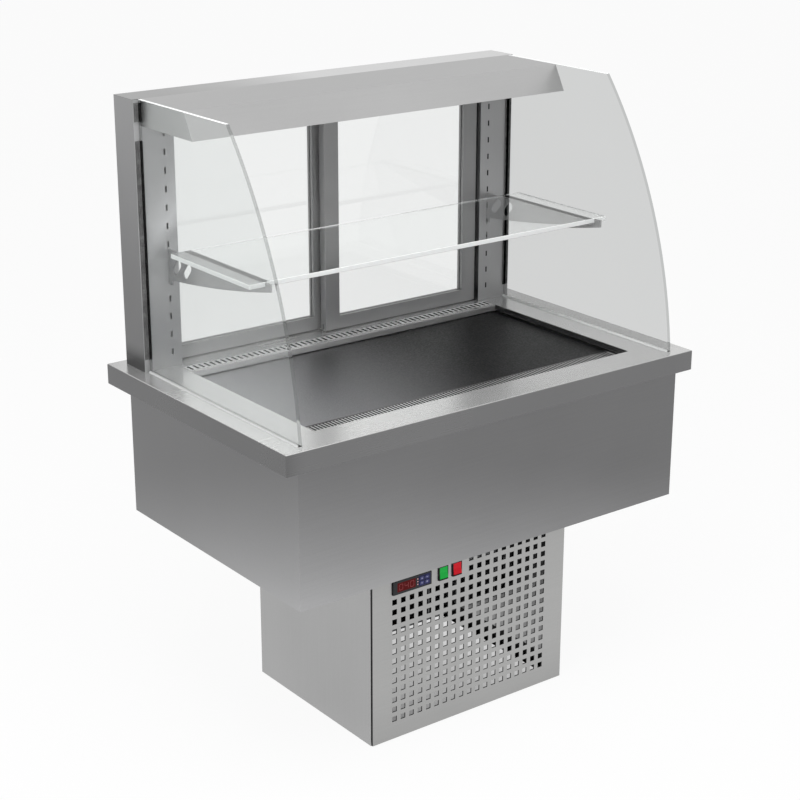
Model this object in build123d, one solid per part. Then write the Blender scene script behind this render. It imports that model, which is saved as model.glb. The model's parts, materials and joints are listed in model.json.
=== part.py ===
from build123d import *
import math
import os

# Refrigerated drop-in display case, in millimetres.
# X runs along the front, Y from the customer to the staff side, Z up from the base rim.

# Worktop, a folded sheet whose apron rests on the counter's cut-out
worktop_width = 1100.0
worktop_depth = 705.0
worktop_height = 775.0
apron_height = 45.0
rim_flange = 12.0
sheet = 1.5
fold_radius = 2.5
lip_round = 1.2

# Insulated tub
tub_side_inset = 36.0
tub_front_inset = 14.0
tub_rear_inset = 35.0
tub_drop = 345.0
thin_sheet = 1.0
insulation_thickness = 50.0
base_upturn = 20.0
liner_flange = 20.0

# Well, deck and air grilles
opening_side_margin = 121.0
opening_setback = 82.5
rear_ledge_depth = 55.5
lip_depth = 14.0
deck_gap_under_lip = 2.0
deck_clearance = 3.0
deck_joint = 1.5
ledge_lap = 11.0
ledge_height = 25.0
bar_width = 16.0
bar_height = 20.0
front_bar_lap = 3.3
rear_bar_lap = 10.0
front_grille_depth = 64.0
front_slot_pitch = 8.4
front_slot_width = 4.6
front_slot_margin = 7.0
rear_grille_inset = 2.0
rear_grille_gap = 7.4
rear_grille_depth = 32.0
rear_grille_flange = 4.0
rear_slot_pitch = 14.2
rear_slot_width = 6.0
rear_slot_length = 25.0
rear_slot_end = 4.5

# Posts and header
post_height = 592.0
post_width = 95.0
post_depth = 80.0
post_rear_inset = 25.0
post_rear_width = 89.0
post_mouth_gap = 5.0
header_skirt = 70.0
shelf_slot_inset = 24.0
shelf_slot_pitch = 40.0
shelf_slot_first = 35.0
shelf_slot_width = 4.0
shelf_slot_height = 13.0

# Side glass and its seals
glass_thickness = 8.0
glass_side_inset = 46.0
glass_foot_setback = 24.5
glass_top_setback = 257.0
glass_bow = 46.4
seal_thickness = 4.0
seal_foot = 28.0
seal_break = 40.0
seal_upper_length = 40.0
seal_head_gap = 7.0

# Canopy and lamp
canopy_depth = 173.0
canopy_height = 57.0
canopy_lean = 31.0
canopy_glass_gap = 0.5
lamp_end_gap = 65.0
lamp_width = 30.0
lamp_side = 8.0
lamp_crown = 8.0

# Shelf and brackets; a bracket's upper hook sits in the numbered slot, its lower hook in the one below
shelf_slot_number = 5
shelf_over_slot = 30.5
shelf_thickness = 10.0
shelf_depth = 303.0
shelf_end_gap = 16.0
shelf_rear_gap = 73.0
shelf_edge = 0.8
bracket_thickness = 3.0
bracket_root = 67.0
bracket_tip = 6.0
bracket_belly = 6.5
bracket_flange = 14.0
nib_gap = 3.0
nib_length = 20.0
hook_height = 8.0
hook_drop = 5.0
hook_reach = 3.0
hook_play = 0.4
lug_width = 14.0
oval_length = 42.0
oval_width = 19.0
oval_lean = 42.0
oval_first = 36.0
oval_pitch = 42.0

# Sliding doors
door_thickness = 20.0
inner_lane_gap = 7.0
lane_gap = 6.5
door_overlap = 24.0
pocket_entry = 30.5
bumper_width = 6.0
bumper_play = 1.5
bumper_inset = 2.5
door_stile = 39.0
door_foot_rail = 30.5
door_head_rail = 45.0
door_floor_gap = 2.5
door_header_lap = 28.0
pane_thickness = 5.0
pane_grip = 8.0
guide_groove = 6.4
guide_groove_depth = 14.0
guide_play = 0.4
guide_head_gap = 2.5
guide_length = 16.0
guide_base = 1.0
pull_length = 120.0
pull_width = 18.0
pull_depth = 6.0
left_door_travel = 420.0
track_wall = 2.0
track_lip = 3.0
track_cavity_width = 20.0
track_cavity_height = 22.0
track_slot = 7.0
track_end_gap = 1.0
runner_length = 40.0
runner_head_play = 1.5
runner_head_height = 10.0
runner_stem_play = 1.0
runner_inset = 60.0
runner_play = 0.3

# Condensing-unit box
box_width = 543.5
box_depth = 439.0
box_setback = 88.0
box_flange = 20.0
panel_gap = 0.5
front_panel_thickness = 3.0
front_panel_stand = 4.0
front_panel_foot = 10.0
panel_end_gap = 2.0
hole_pitch = 23.4
hole_size = 12.5
hole_side_margin = 58.9
hole_foot_margin = 50.0
hole_head_margin = 50.0

# Controller, keys and rocker switches
controls_drop = 66.0
controls_proud = 3.5
cutout_clearance = 0.5
controller_left = 52.7
controller_width = 103.8
controller_height = 31.5
bezel_depth = 11.0
bezel_corner = 1.5
body_side_inset = 7.0
body_edge_inset = 3.0
controller_body_depth = 55.0
window_height = 21.0
window_inset = 11.0
window_key_gap = 11.0
window_depth = 1.2
key_width = 11.0
key_height = 8.0
key_corner = 2.0
key_gap = 3.0
key_centre_from_right = 20.0
key_proud = 0.8
key_depth = 3.0
key_travel = 0.5
key_play = 0.15
green_switch_gap = 21.0
red_switch_gap = 13.1
switch_width = 25.0
switch_height = 32.0
switch_wall = 1.4
switch_depth = 24.0
switch_body_inset = 0.2
rocker_play = 0.3
rocker_pivot_depth = 11.0
rocker_lift = 10.5
rocker_back = 6.0
rocker_pin = 3.0
rocker_pin_length = 0.7
rocker_angle = 7.0
pin_clearance = 0.05
bracket_end_margin = 10.0
bracket_lip_margin = 4.0

# Hidden round pieces, such as pipes, feet and hubs, are drawn with few sides, and large ones with more
hidden_sides = 8
large_sides = 16

# Condensing unit
tray_height = 158.0
tray_fold = 15.0
compressor_side_gap = 21.0
compressor_rear_gap = 33.0
compressor_drier_gap = 4.5
compressor_radius = 80.0
compressor_height = 180.0
compressor_crown = 36.0
compressor_flat = 54.0
compressor_seam = 4.0
terminal_width = 36.0
terminal_depth = 16.0
foot_overhang = 15.0
foot_plate_depth = 140.0
foot_plate_thickness = 4.0
mount_radius = 13.0
mount_height = 16.0
mount_inset = 16.0
condenser_width = 240.0
condenser_depth = 52.0
condenser_side_gap = 3.0
condenser_head_gap = 30.0
condenser_row_count = 4
fin_pitch = 40.0
fin_thickness = 2.0
coil_end_plate = 2.0
coil_tube = 9.0
bend_radius = 30.0
shroud_depth = 34.0
shroud_border = 12.0
gland_inset = 72.0
gland_z = 55.0
gland_radius = 14.0
gland_neck = 10.0
gland_bore = 4.5
gland_length = 16.0
gland_nut = 6.0
gland_sides = 6

# Fans
blade_count = 5
blade_sweep = 48.0
blade_pitch = 24.0
blade_thickness = 2.0
blade_root = 4.0
hub_radius = 22.0
fan_tip_gap = 6.0
fan_shaft = 4.0
fan_shaft_grip = 14.0
shaft_end_gap = 1.0
motor_gap = 2.0
motor_width = 60.0
motor_length = 44.0
motor_bevel = 6.0
motor_arms = 3
arm_width = 8.0
arm_thickness = 3.0
arm_foot = 6.0

# Evaporator in the tub
evaporator_lead = 25.0
evaporator_depth = 100.0
evaporator_head_gap = 68.0
evaporator_row_count = 2
drain_bay = 131.0
fan_plate_gap = 60.0
fan_plate_head_gap = 6.0
fan_plate_foot = 25.0
evaporator_fan_radius = 85.0
evaporator_fan_rise = 120.0
evaporator_fan_spread = 340.0

# Pipes
suction_pipe = 6.0
discharge_pipe = 5.0
liquid_pipe = 4.0
pipe_bend = 14.0
pipe_rise = 30.0
pipe_lead = 30.0
pipe_hole_play = 1.0
pipe_spacing = 35.0
port_spread = 25.0
drier_offset = 40.0
drier_rise = 45.0
drier_length = 110.0
drier_radius = 12.5
drier_taper = 12.0
drain_inset = 61.0
drain_radius = 16.0
drain_wall = 2.0
drain_flange = 26.0
drain_flange_thickness = 2.0
drain_drop = 30.0

# Places worked out from the sizes above
side_x = worktop_width / 2
front_y = -worktop_depth / 2
rear_y = worktop_depth / 2
top_z = worktop_height
rim_z = top_z - apron_height
under_top = top_z - sheet
tub_x = side_x - tub_side_inset
tub_front = front_y + tub_front_inset
tub_rear = rear_y - tub_rear_inset
tub_bottom = top_z - tub_drop
liner_x = tub_x - 2 * thin_sheet - insulation_thickness
liner_front = tub_front + 2 * thin_sheet + insulation_thickness
liner_rear = tub_rear - 2 * thin_sheet - insulation_thickness
liner_bottom = tub_bottom + thin_sheet + insulation_thickness
liner_floor = liner_bottom + thin_sheet
liner_wall = liner_x - thin_sheet

post_rear = rear_y - post_rear_inset
post_front = post_rear - post_depth
post_inner = tub_x - post_width
head_z = top_z + post_height
under_head = head_z - sheet
skirt_z = head_z - header_skirt
slot_x = post_inner + shelf_slot_inset
slot_count = int((post_height - header_skirt - shelf_slot_first) / shelf_slot_pitch) + 1
slot_heights = [top_z + shelf_slot_first + shelf_slot_pitch * row for row in range(slot_count)]

opening_x = side_x - opening_side_margin
opening_front = front_y + opening_setback
opening_rear = post_front - rear_ledge_depth
deck_top = top_z - lip_depth - deck_gap_under_lip
ledge_top = deck_top - sheet
deck_x = opening_x - deck_clearance
ledge_width = liner_wall - deck_x + ledge_lap
grille_front = opening_front + deck_clearance
grille_rear = grille_front + front_grille_depth
deck_front = grille_rear + deck_joint
deck_rear = opening_rear - deck_clearance
rear_grille_front = opening_rear + rear_grille_gap
rear_grille_rear = rear_grille_front + rear_grille_depth
rear_grille_x = opening_x - rear_grille_inset

glass_outer = side_x - glass_side_inset
glass_inner = glass_outer - glass_thickness
glass_rear = post_front - seal_thickness
canopy_x = glass_inner - canopy_glass_gap
canopy_front = post_front - canopy_depth
shelf_under = slot_heights[shelf_slot_number] + shelf_over_slot
shelf_top = shelf_under + shelf_thickness
shelf_rear = post_front - shelf_rear_gap
shelf_front = shelf_rear - shelf_depth
shelf_x = glass_inner - shelf_end_gap

inner_lane = post_front + inner_lane_gap + door_thickness / 2
outer_lane = inner_lane + door_thickness + lane_gap
door_foot = top_z + door_floor_gap
door_head = skirt_z + door_header_lap
right_door_end = post_inner - bumper_width - bumper_play
left_door_end = -post_inner - pocket_entry
door_width = (right_door_end - left_door_end + door_overlap) / 2
track_floor = under_head - track_wall - track_cavity_height

box_x = box_width / 2
box_front = tub_front + box_setback
box_rear = box_front + box_depth
box_height = tub_bottom
controls_z = box_height - controls_drop
controls_half = max(controller_height, switch_height) / 2
controls_front = box_front - controls_proud
controls_seat = controls_front + bezel_depth
controller_x = -box_x + controller_left + controller_width / 2
controller_right = controller_x + controller_width / 2
green_x = controller_right + green_switch_gap + switch_width / 2
red_x = green_x + switch_width + red_switch_gap
bracket_left = -box_x + controller_left - bracket_end_margin
bracket_right = red_x + switch_width / 2 + bracket_end_margin
bracket_low = controls_z - controls_half - bracket_lip_margin
bracket_high = controls_z + controls_half + bracket_lip_margin

compressor_reach = compressor_radius + compressor_seam
compressor_x = -box_x + sheet + compressor_side_gap + compressor_reach
compressor_y = box_rear - sheet - compressor_rear_gap - compressor_reach
compressor_foot = tray_height + mount_height
compressor_base = compressor_foot + foot_plate_thickness
compressor_top = compressor_base + compressor_height
coil_y = compressor_y - compressor_reach - compressor_drier_gap - drier_radius
condenser_front = coil_y - condenser_depth / 2
condenser_rear = coil_y + condenser_depth / 2
condenser_right = box_x - sheet - condenser_side_gap - bend_radius - coil_tube / 2
condenser_left = condenser_right - condenser_width
condenser_x = condenser_right - condenser_width / 2
condenser_height = box_height - sheet - tray_height - condenser_head_gap
condenser_fan_radius = condenser_width / 2 - shroud_border - fan_tip_gap
condenser_fan_z = tray_height + condenser_height / 2
shroud_rear = condenser_rear + shroud_depth
gland_x = box_x - gland_inset

drier_x = compressor_x - drier_offset
suction_x = drier_x - pipe_spacing
evaporator_left = drier_x + evaporator_lead
evaporator_right = liner_wall - drain_bay
fan_plate_y = coil_y + evaporator_depth / 2 + fan_plate_gap
fan_plate_top = ledge_top - sheet - fan_plate_head_gap
fan_plate_x = liner_wall - sheet
fan_axis_z = liner_floor + evaporator_fan_rise
evaporator_height = fan_plate_top - liner_floor - evaporator_head_gap
drain_x = liner_wall - drain_inset


def rect(u0, u1, v0, v1):
    """Rectangle between two corners."""
    return Pos((u0 + u1) / 2, (v0 + v1) / 2) * Rectangle(u1 - u0, v1 - v0)


def polygon(*points):
    """Face inside a closed line."""
    return make_face(Polyline(*points, close=True))


def folded(thickness, *points):
    """Section of a folded sheet: an open line made thick on its right-hand side."""
    wall = offset(Polyline(*points), amount=thickness, kind=Kind.INTERSECTION, side=Side.RIGHT, closed=True)
    return make_face(wall.edges())


def along_x(face, x0, x1):
    """Carry a face drawn as (y, z) along X."""
    return Pos(x0, 0, 0) * extrude(Plane.YZ * face, x1 - x0)


def along_y(face, y0, y1):
    """Carry a face drawn as (x, z) along Y."""
    plane = Plane(origin=(0, y1, 0), x_dir=(1, 0, 0), z_dir=(0, -1, 0))
    return extrude(plane * face, y1 - y0)


def along_z(face, z0, z1):
    """Carry a face drawn as (x, y) along Z."""
    return Pos(0, 0, z0) * extrude(face, z1 - z0)


def open_tray(x0, x1, y0, y1, z0, z1, wall, open_top):
    """Folded tray: a block shelled to a wall, open at the top or at the bottom."""
    block = along_z(rect(x0, x1, y0, y1), z0, z1)
    mouth = block.faces().sort_by(Axis.Z)[-1 if open_top else 0]
    return offset(block, amount=-wall, openings=mouth)


def few_sided(sides, *rings):
    """Body of few sides through a stack of rings, each given as (radius, z)."""
    outlines = [Pos(0, 0, z) * RegularPolygon(radius, sides) for radius, z in rings]
    return loft(outlines, ruled=True)


def row_of(shape, length, pitch):
    """As many copies of a flat shape, centred in a row along X, as the length holds."""
    count = int(length / pitch) + 1
    return Sketch() + [place * shape for place in GridLocations(pitch, 0, count, 1)]


def mirrored(shape):
    """The same piece on the other side of the case."""
    return mirror(shape, about=Plane.YZ)


# Worktop and tub

def make_worktop():
    """Pressed top with apron, rim flange, well lip and the window of the rear grille."""
    block = along_z(Rectangle(worktop_width, worktop_depth), rim_z, top_z)
    folds = block.faces().sort_by(Axis.Z)[-1].edges() + block.edges().filter_by(Axis.Z)
    hollow = Rectangle(worktop_width - 2 * sheet, worktop_depth - 2 * sheet)
    top = fillet(folds, fold_radius) - along_z(hollow, rim_z - sheet, under_top)
    rim = RectangleRounded(worktop_width, worktop_depth, fold_radius)
    rim -= Rectangle(worktop_width - 2 * rim_flange, worktop_depth - 2 * rim_flange)
    top += along_z(rim, rim_z, rim_z + sheet)
    well = rect(-opening_x, opening_x, opening_front, opening_rear)
    lip = offset(well, amount=sheet, kind=Kind.INTERSECTION)
    top += along_z(lip, top_z - lip_depth, top_z - sheet)
    top -= along_z(well, rim_z, top_z + sheet)
    window = rect(-rear_grille_x, rear_grille_x, rear_grille_front, rear_grille_rear)
    top -= along_z(window, under_top - sheet, top_z + sheet)
    reach = sheet / 2
    brim = top.edges().filter_by_position(Axis.Z, top_z - reach, top_z + reach)
    brim = brim.filter_by_position(Axis.Y, opening_front - reach, opening_rear + reach)
    brim = brim.filter_by_position(Axis.X, -opening_x - reach, opening_x + reach)
    return fillet(brim, lip_round)


def service_holes(z0, z1):
    """Bores for the drain and the two pipes through the floor of the tub."""
    cutters = []
    for x, radius in ((drain_x, drain_radius), (suction_x, suction_pipe), (drier_x, liquid_pipe)):
        outline = RegularPolygon(radius + pipe_hole_play, hidden_sides, major_radius=False)
        cutters.append(along_z(Pos(x, coil_y) * outline, z0, z1))
    return cutters


def make_casing():
    """Outer panels of the tub: front and rear over the full width, sides between them, base inside."""
    wide = rect(-tub_x, tub_x, tub_bottom, under_top)
    deep = rect(tub_front + thin_sheet, tub_rear - thin_sheet, tub_bottom, under_top)
    base = open_tray(-tub_x + thin_sheet, tub_x - thin_sheet, tub_front + thin_sheet, tub_rear - thin_sheet,
                     tub_bottom, tub_bottom + base_upturn, thin_sheet, True)
    return {
        "casing_front": along_y(wide, tub_front, tub_front + thin_sheet),
        "casing_rear": along_y(wide, tub_rear - thin_sheet, tub_rear),
        "casing_left": along_x(deep, -tub_x, -tub_x + thin_sheet),
        "casing_right": along_x(deep, tub_x - thin_sheet, tub_x),
        "casing_base": base - service_holes(tub_bottom - sheet, liner_floor),
    }


def make_insulation():
    """Foam tub between the casing and the liner."""
    skin = 2 * thin_sheet
    outer = rect(-tub_x + skin, tub_x - skin, tub_front + skin, tub_rear - skin)
    foam = along_z(outer, tub_bottom + thin_sheet, under_top - thin_sheet)
    foam -= along_z(rect(-liner_x, liner_x, liner_front, liner_rear), liner_bottom, under_top)
    return foam - service_holes(tub_bottom, liner_floor)


def make_liner():
    """Inner tub with a top flange, and the welded ledges and bars that carry the deck and the grille."""
    mouth = rect(-liner_x, liner_x, liner_front, liner_rear)
    tub = open_tray(-liner_x, liner_x, liner_front, liner_rear, liner_bottom, under_top, thin_sheet, True)
    rim = offset(mouth, amount=liner_flange, kind=Kind.INTERSECTION) - mouth
    tub += along_z(rim, under_top - thin_sheet, under_top)
    section = folded(
        sheet,
        (-liner_wall, ledge_top - ledge_height),
        (-liner_wall, ledge_top),
        (-liner_wall + ledge_width, ledge_top),
    )
    ledge = along_y(section, liner_front + thin_sheet, opening_rear)
    tub += ledge
    tub += mirrored(ledge)
    span = liner_wall - ledge_width
    for bar_front in (deck_front + front_bar_lap - bar_width, deck_rear - rear_bar_lap):
        section = folded(
            sheet,
            (bar_front, ledge_top - bar_height),
            (bar_front, ledge_top),
            (bar_front + bar_width, ledge_top),
        )
        tub += along_x(section, -span, span)
    return tub - service_holes(liner_bottom - sheet, liner_floor + sheet)


def make_deck():
    """Lift-out display deck, a flat sheet that lies on the ledges and cross bars."""
    return along_z(rect(-deck_x, deck_x, deck_front, deck_rear), ledge_top, deck_top)


def make_front_grille():
    """Return-air grille in front of the deck, a row of slots across the case."""
    plate = rect(-deck_x, deck_x, grille_front, grille_rear)
    slot = Rectangle(front_slot_width, front_grille_depth - 2 * front_slot_margin)
    slots = row_of(slot, 2 * (deck_x - front_slot_margin) - front_slot_width, front_slot_pitch)
    slots = Pos(0, (grille_front + grille_rear) / 2) * slots
    return along_z(plate - slots, ledge_top, deck_top)


def make_rear_grille():
    """Air outlet let into the ledge behind the well, held by a flange under the worktop."""
    plug = rect(-rear_grille_x, rear_grille_x, rear_grille_front, rear_grille_rear)
    flange = offset(plug, amount=rear_grille_flange, kind=Kind.INTERSECTION)
    length = 2 * (rear_grille_x - rear_slot_end) - rear_slot_width
    slots = row_of(Rectangle(rear_slot_width, rear_slot_length), length, rear_slot_pitch)
    slots = Pos(0, (rear_grille_front + rear_grille_rear) / 2) * slots
    grille = along_z(plug, under_top, top_z) + along_z(flange, under_top - sheet, under_top)
    return grille - along_z(slots, under_top - 2 * sheet, top_z + sheet)


# Posts, header, canopy and glass

def make_post_left():
    """Folded post, open towards the outer door, with the row of shelf slots in its front wall."""
    section = folded(
        sheet,
        (-post_inner, outer_lane - door_thickness / 2 - post_mouth_gap),
        (-post_inner, post_front),
        (-tub_x, post_front),
        (-tub_x, post_rear),
        (-tub_x + post_rear_width, post_rear),
        (-tub_x + post_rear_width, outer_lane + door_thickness / 2 + post_mouth_gap),
    )
    post = along_z(section, top_z, under_head)
    slot = Rectangle(shelf_slot_width, shelf_slot_height)
    column = Sketch() + [Pos(-slot_x, height) * slot for height in slot_heights]
    return post - along_y(column, post_front - sheet, post_front + 2 * sheet)


def make_header():
    """Top cap over both posts, with a skirt in front of and behind the door track."""
    section = folded(
        sheet,
        (post_front, skirt_z),
        (post_front, head_z),
        (post_rear, head_z),
        (post_rear, skirt_z),
    )
    header = along_x(section, -tub_x, tub_x)
    over_post = rect(post_front - sheet, post_rear + sheet, skirt_z - sheet, under_head)
    end = along_x(over_post, -tub_x - sheet, -post_inner)
    return header - end - mirrored(end)


def make_canopy():
    """Shallow hood, open below, whose front lip leans out towards the customer."""
    side = polygon(
        (post_front, head_z),
        (canopy_front, head_z),
        (canopy_front - canopy_lean, head_z - canopy_height),
        (post_front, head_z - canopy_height),
    )
    hood = along_x(side, -canopy_x, canopy_x)
    return offset(hood, amount=-sheet, openings=hood.faces().sort_by(Axis.Z)[0])


def make_lamp():
    """Lamp bar under the canopy, a flat back with a crowned cover."""
    middle = (post_front + canopy_front) / 2
    half = lamp_width / 2
    edge_z = under_head - lamp_side
    back = Polyline((middle - half, edge_z), (middle - half, under_head), (middle + half, under_head),
                    (middle + half, edge_z))
    crown = ThreePointArc((middle + half, edge_z), (middle, edge_z - lamp_crown), (middle - half, edge_z))
    length = canopy_x - lamp_end_gap
    return along_x(make_face(back.edges() + crown.edges()), -length, length)


def make_side_glass_left():
    """Flat pane whose front edge is one long arc from the worktop to the canopy's height."""
    foot = (front_y + glass_foot_setback, top_z)
    crest = (front_y + glass_top_setback, head_z)
    chord = math.dist(foot, crest)
    belly_y = (foot[0] + crest[0]) / 2 - glass_bow * (crest[1] - foot[1]) / chord
    belly_z = (foot[1] + crest[1]) / 2 + glass_bow * (crest[0] - foot[0]) / chord
    straight = Polyline(foot, (glass_rear, top_z), (glass_rear, head_z), crest)
    curve = ThreePointArc(crest, (belly_y, belly_z), foot)
    return along_x(make_face(straight.edges() + curve.edges()), -glass_outer, -glass_inner)


def make_glass_seals():
    """Rubber strips between each pane's rear edge and its post, a long one and a short one above it."""
    upper_end = head_z - seal_head_gap
    upper_start = upper_end - seal_upper_length
    spans = [(top_z + seal_foot, upper_start - seal_break), (upper_start, upper_end)]
    strips = [along_y(rect(-glass_outer, -glass_inner, z0, z1), glass_rear, post_front) for z0, z1 in spans]
    return strips + [mirrored(strip) for strip in strips]


def make_shelf():
    """Glass shelf with ground edges."""
    plate = along_z(rect(-shelf_x, shelf_x, shelf_front, shelf_rear), shelf_under, shelf_top)
    return chamfer(plate.edges(), shelf_edge)


def make_bracket_left():
    """Shelf bracket: a web with a curved belly, a seat flange, a nib at the tip and hooks in two slots."""
    nib_rear = shelf_front - nib_gap
    tip = nib_rear - nib_length
    root_z = shelf_under - bracket_root
    tip_z = shelf_under - bracket_tip
    hook_slots = slot_heights[shelf_slot_number - 1:shelf_slot_number + 1]
    lug_z = min(root_z, hook_slots[0] - hook_height)
    heel = (post_front - lug_width, root_z)
    belly = ((tip + heel[0]) / 2, (tip_z + root_z) / 2 - bracket_belly)
    edge = Polyline(
        heel,
        (heel[0], lug_z),
        (post_front, lug_z),
        (post_front, shelf_under),
        (nib_rear, shelf_under),
        (nib_rear, shelf_top),
        (tip, shelf_top),
        (tip, tip_z),
    )
    web = make_face(edge.edges() + ThreePointArc((tip, tip_z), belly, heel).edges())
    for index in range(2):
        centre = Pos(post_front - oval_first - oval_pitch * index, (shelf_under + root_z) / 2)
        web -= centre * SlotOverall(oval_length, oval_width, rotation=90 + oval_lean)
    x0 = -slot_x - bracket_thickness / 2
    x1 = -slot_x + bracket_thickness / 2
    bracket = along_x(web, x0, x1)
    seat = rect(shelf_front, shelf_rear, shelf_under - bracket_thickness, shelf_under)
    bracket += along_x(seat, x1, x1 + bracket_flange)
    behind = post_front + sheet + hook_play
    for height in hook_slots:
        high = height + hook_height / 2
        low = height - hook_height / 2
        hook = polygon(
            (post_front, high),
            (behind + hook_reach, high),
            (behind + hook_reach, low - hook_drop),
            (behind, low - hook_drop),
            (behind, low),
            (post_front, low),
        )
        bracket += along_x(hook, x0, x1)
    return bracket


# Sliding doors

def make_door(left_end, lane, name):
    """One framed door: frame with its grooves, pane, and the two runners that hang it in the track."""
    right_end = left_end + door_width
    front = lane - door_thickness / 2
    rear = lane + door_thickness / 2
    sight = rect(left_end + door_stile, right_end - door_stile, door_foot + door_foot_rail,
                 door_head - door_head_rail)
    frame = along_y(rect(left_end, right_end, door_foot, door_head) - sight, front, rear)
    pane = along_y(offset(sight, amount=pane_grip, kind=Kind.INTERSECTION),
                   lane - pane_thickness / 2, lane + pane_thickness / 2)
    groove = rect(lane - guide_groove / 2, lane + guide_groove / 2, door_foot - sheet,
                  door_foot + guide_groove_depth)
    frame = frame - pane - along_x(groove, left_end - sheet, right_end + sheet)
    pull = SlotOverall(pull_length, pull_width, rotation=90)
    pull = Pos(right_end - door_stile / 2, (door_foot + door_head) / 2) * pull
    frame -= along_y(pull, rear - pull_depth, rear + sheet)
    stem = track_slot / 2 - runner_stem_play
    head = track_cavity_width / 2 - runner_head_play
    seat = track_floor + runner_play
    section = rect(lane - stem, lane + stem, door_head, seat + runner_head_height)
    section += rect(lane - head, lane + head, seat, seat + runner_head_height)
    runners = [along_x(section, middle - runner_length / 2, middle + runner_length / 2)
               for middle in (left_end + runner_inset, right_end - runner_inset)]
    return {name + "_frame": frame, name + "_pane": pane, name + "_runners": runners}


def make_bumper():
    """Rubber strip on the closing edge of the inner door."""
    half = door_thickness / 2 - bumper_inset
    strip = rect(inner_lane - half, inner_lane + half, door_foot, door_head)
    return along_x(strip, right_door_end, right_door_end + bumper_width)


def make_top_track():
    """Double channel under the header, with a slot in the floor of each lane."""
    half = track_cavity_width / 2
    slot = track_slot / 2
    ceiling = under_head - track_wall
    section = rect(inner_lane - half - track_wall, outer_lane + half + track_wall,
                   track_floor - track_lip, under_head)
    for lane in (inner_lane, outer_lane):
        section -= rect(lane - half, lane + half, track_floor, ceiling)
        section -= rect(lane - slot, lane + slot, track_floor - 2 * track_lip, ceiling)
    return along_x(section, -post_inner + track_end_gap, post_inner - track_end_gap)


def make_door_guide():
    """Floor guide where the doors cross: a foot with a tongue in each door's groove."""
    middle = left_door_end + (door_width + left_door_travel) / 2
    half = guide_groove / 2 - guide_play
    section = rect(inner_lane - half, outer_lane + half, top_z, top_z + guide_base)
    for lane in (inner_lane, outer_lane):
        section += rect(lane - half, lane + half, top_z, door_foot + guide_groove_depth - guide_head_gap)
    return along_x(section, middle - guide_length / 2, middle + guide_length / 2)


# Box of the condensing unit

def make_box_side_left():
    """Side panel with flanges at the floor, under the tub and behind the front panel that stands on it."""
    inner = -box_x + box_flange
    section = folded(sheet, (inner, 0), (-box_x, 0), (-box_x, box_height), (inner, box_height))
    front = box_front + front_panel_thickness + front_panel_stand
    panel = along_y(section, front, box_rear - sheet)
    return panel + along_y(rect(-box_x, inner, 0, box_height), front, front + sheet)


def make_box_rear():
    """Rear panel with flanges between those of the sides and the hole of the cable gland."""
    panel = along_y(rect(-box_x, box_x, 0, box_height), box_rear - sheet, box_rear)
    reach = box_x - box_flange - panel_gap
    flange = rect(-reach, reach, box_rear - box_flange, box_rear - sheet)
    panel += along_z(flange, 0, sheet)
    panel += along_z(flange, box_height - sheet, box_height)
    hole = Pos(gland_x, gland_z) * Circle(gland_neck + pin_clearance)
    return panel - along_y(hole, box_rear - 2 * sheet, box_rear + sheet)


def make_perforated_panel():
    """Front panel: a grid of square air holes that stops short of the controls at the top left."""
    columns = int((box_width - 2 * hole_side_margin) / hole_pitch) + 1
    rows = int((box_height - hole_foot_margin - hole_head_margin) / hole_pitch) + 1
    holes = []
    for column in range(columns):
        x = -box_x + hole_side_margin + column * hole_pitch
        for row in range(rows):
            z = hole_foot_margin + row * hole_pitch
            beside_controls = x - hole_size / 2 < bracket_right and z + hole_size / 2 > bracket_low
            if not beside_controls:
                holes.append(Pos(x, z) * Rectangle(hole_size, hole_size))
    grown = 2 * cutout_clearance
    switch = Rectangle(switch_width + grown, switch_height + grown)
    controller = Rectangle(controller_width + grown, controller_height + grown)
    cutouts = [Pos(x, controls_z) * switch for x in (green_x, red_x)]
    cutouts.append(Pos(controller_x, controls_z) * controller)
    face = rect(-box_x, box_x, panel_end_gap, box_height - panel_end_gap)
    panel_rear = box_front + front_panel_thickness
    panel = along_y(face - holes - cutouts, box_front, panel_rear)
    foot_x = -box_x + front_panel_foot
    foot = rect(foot_x, foot_x + sheet, panel_rear, panel_rear + front_panel_stand)
    foot = along_z(foot, 2 * panel_end_gap, box_height - 2 * panel_end_gap)
    return panel + foot + mirrored(foot)


# Controls

def controller_body():
    """Outline of the controller's body behind its bezel."""
    outline = Rectangle(controller_width - 2 * body_side_inset, controller_height - 2 * body_edge_inset)
    return Pos(controller_x, controls_z) * outline


def switch_body(x):
    """Outline of a switch's body behind its bezel."""
    outline = Rectangle(switch_width - 2 * switch_body_inset, switch_height - 2 * switch_body_inset)
    return Pos(x, controls_z) * outline


def make_control_bracket():
    """Channel behind the front panel that carries the controller and the switches."""
    panel_rear = box_front + front_panel_thickness
    plate_rear = controls_seat + sheet
    section = folded(sheet, (panel_rear, bracket_high), (plate_rear, bracket_high), (plate_rear, bracket_low),
                     (panel_rear, bracket_low))
    channel = along_x(section, bracket_left, bracket_right)
    for opening in (controller_body(), switch_body(green_x), switch_body(red_x)):
        channel -= along_y(opening, controls_seat - sheet, controls_seat + 2 * sheet)
    return channel


def key_places():
    """Centres of the four keys, two by two at the right of the controller's face."""
    middle = controller_right - key_centre_from_right
    step_x = (key_width + key_gap) / 2
    step_z = (key_height + key_gap) / 2
    return {
        "key_upper_left": (middle - step_x, controls_z + step_z),
        "key_upper_right": (middle + step_x, controls_z + step_z),
        "key_lower_left": (middle - step_x, controls_z - step_z),
        "key_lower_right": (middle + step_x, controls_z - step_z),
    }


def make_keys():
    """Push keys with cut corners, proud of the controller's face."""
    cap = chamfer(Rectangle(key_width, key_height).vertices(), key_corner)
    keys = {}
    for name, place in key_places().items():
        keys[name] = along_y(Pos(*place) * cap, controls_front - key_proud, controls_front + key_depth)
    return keys


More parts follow.
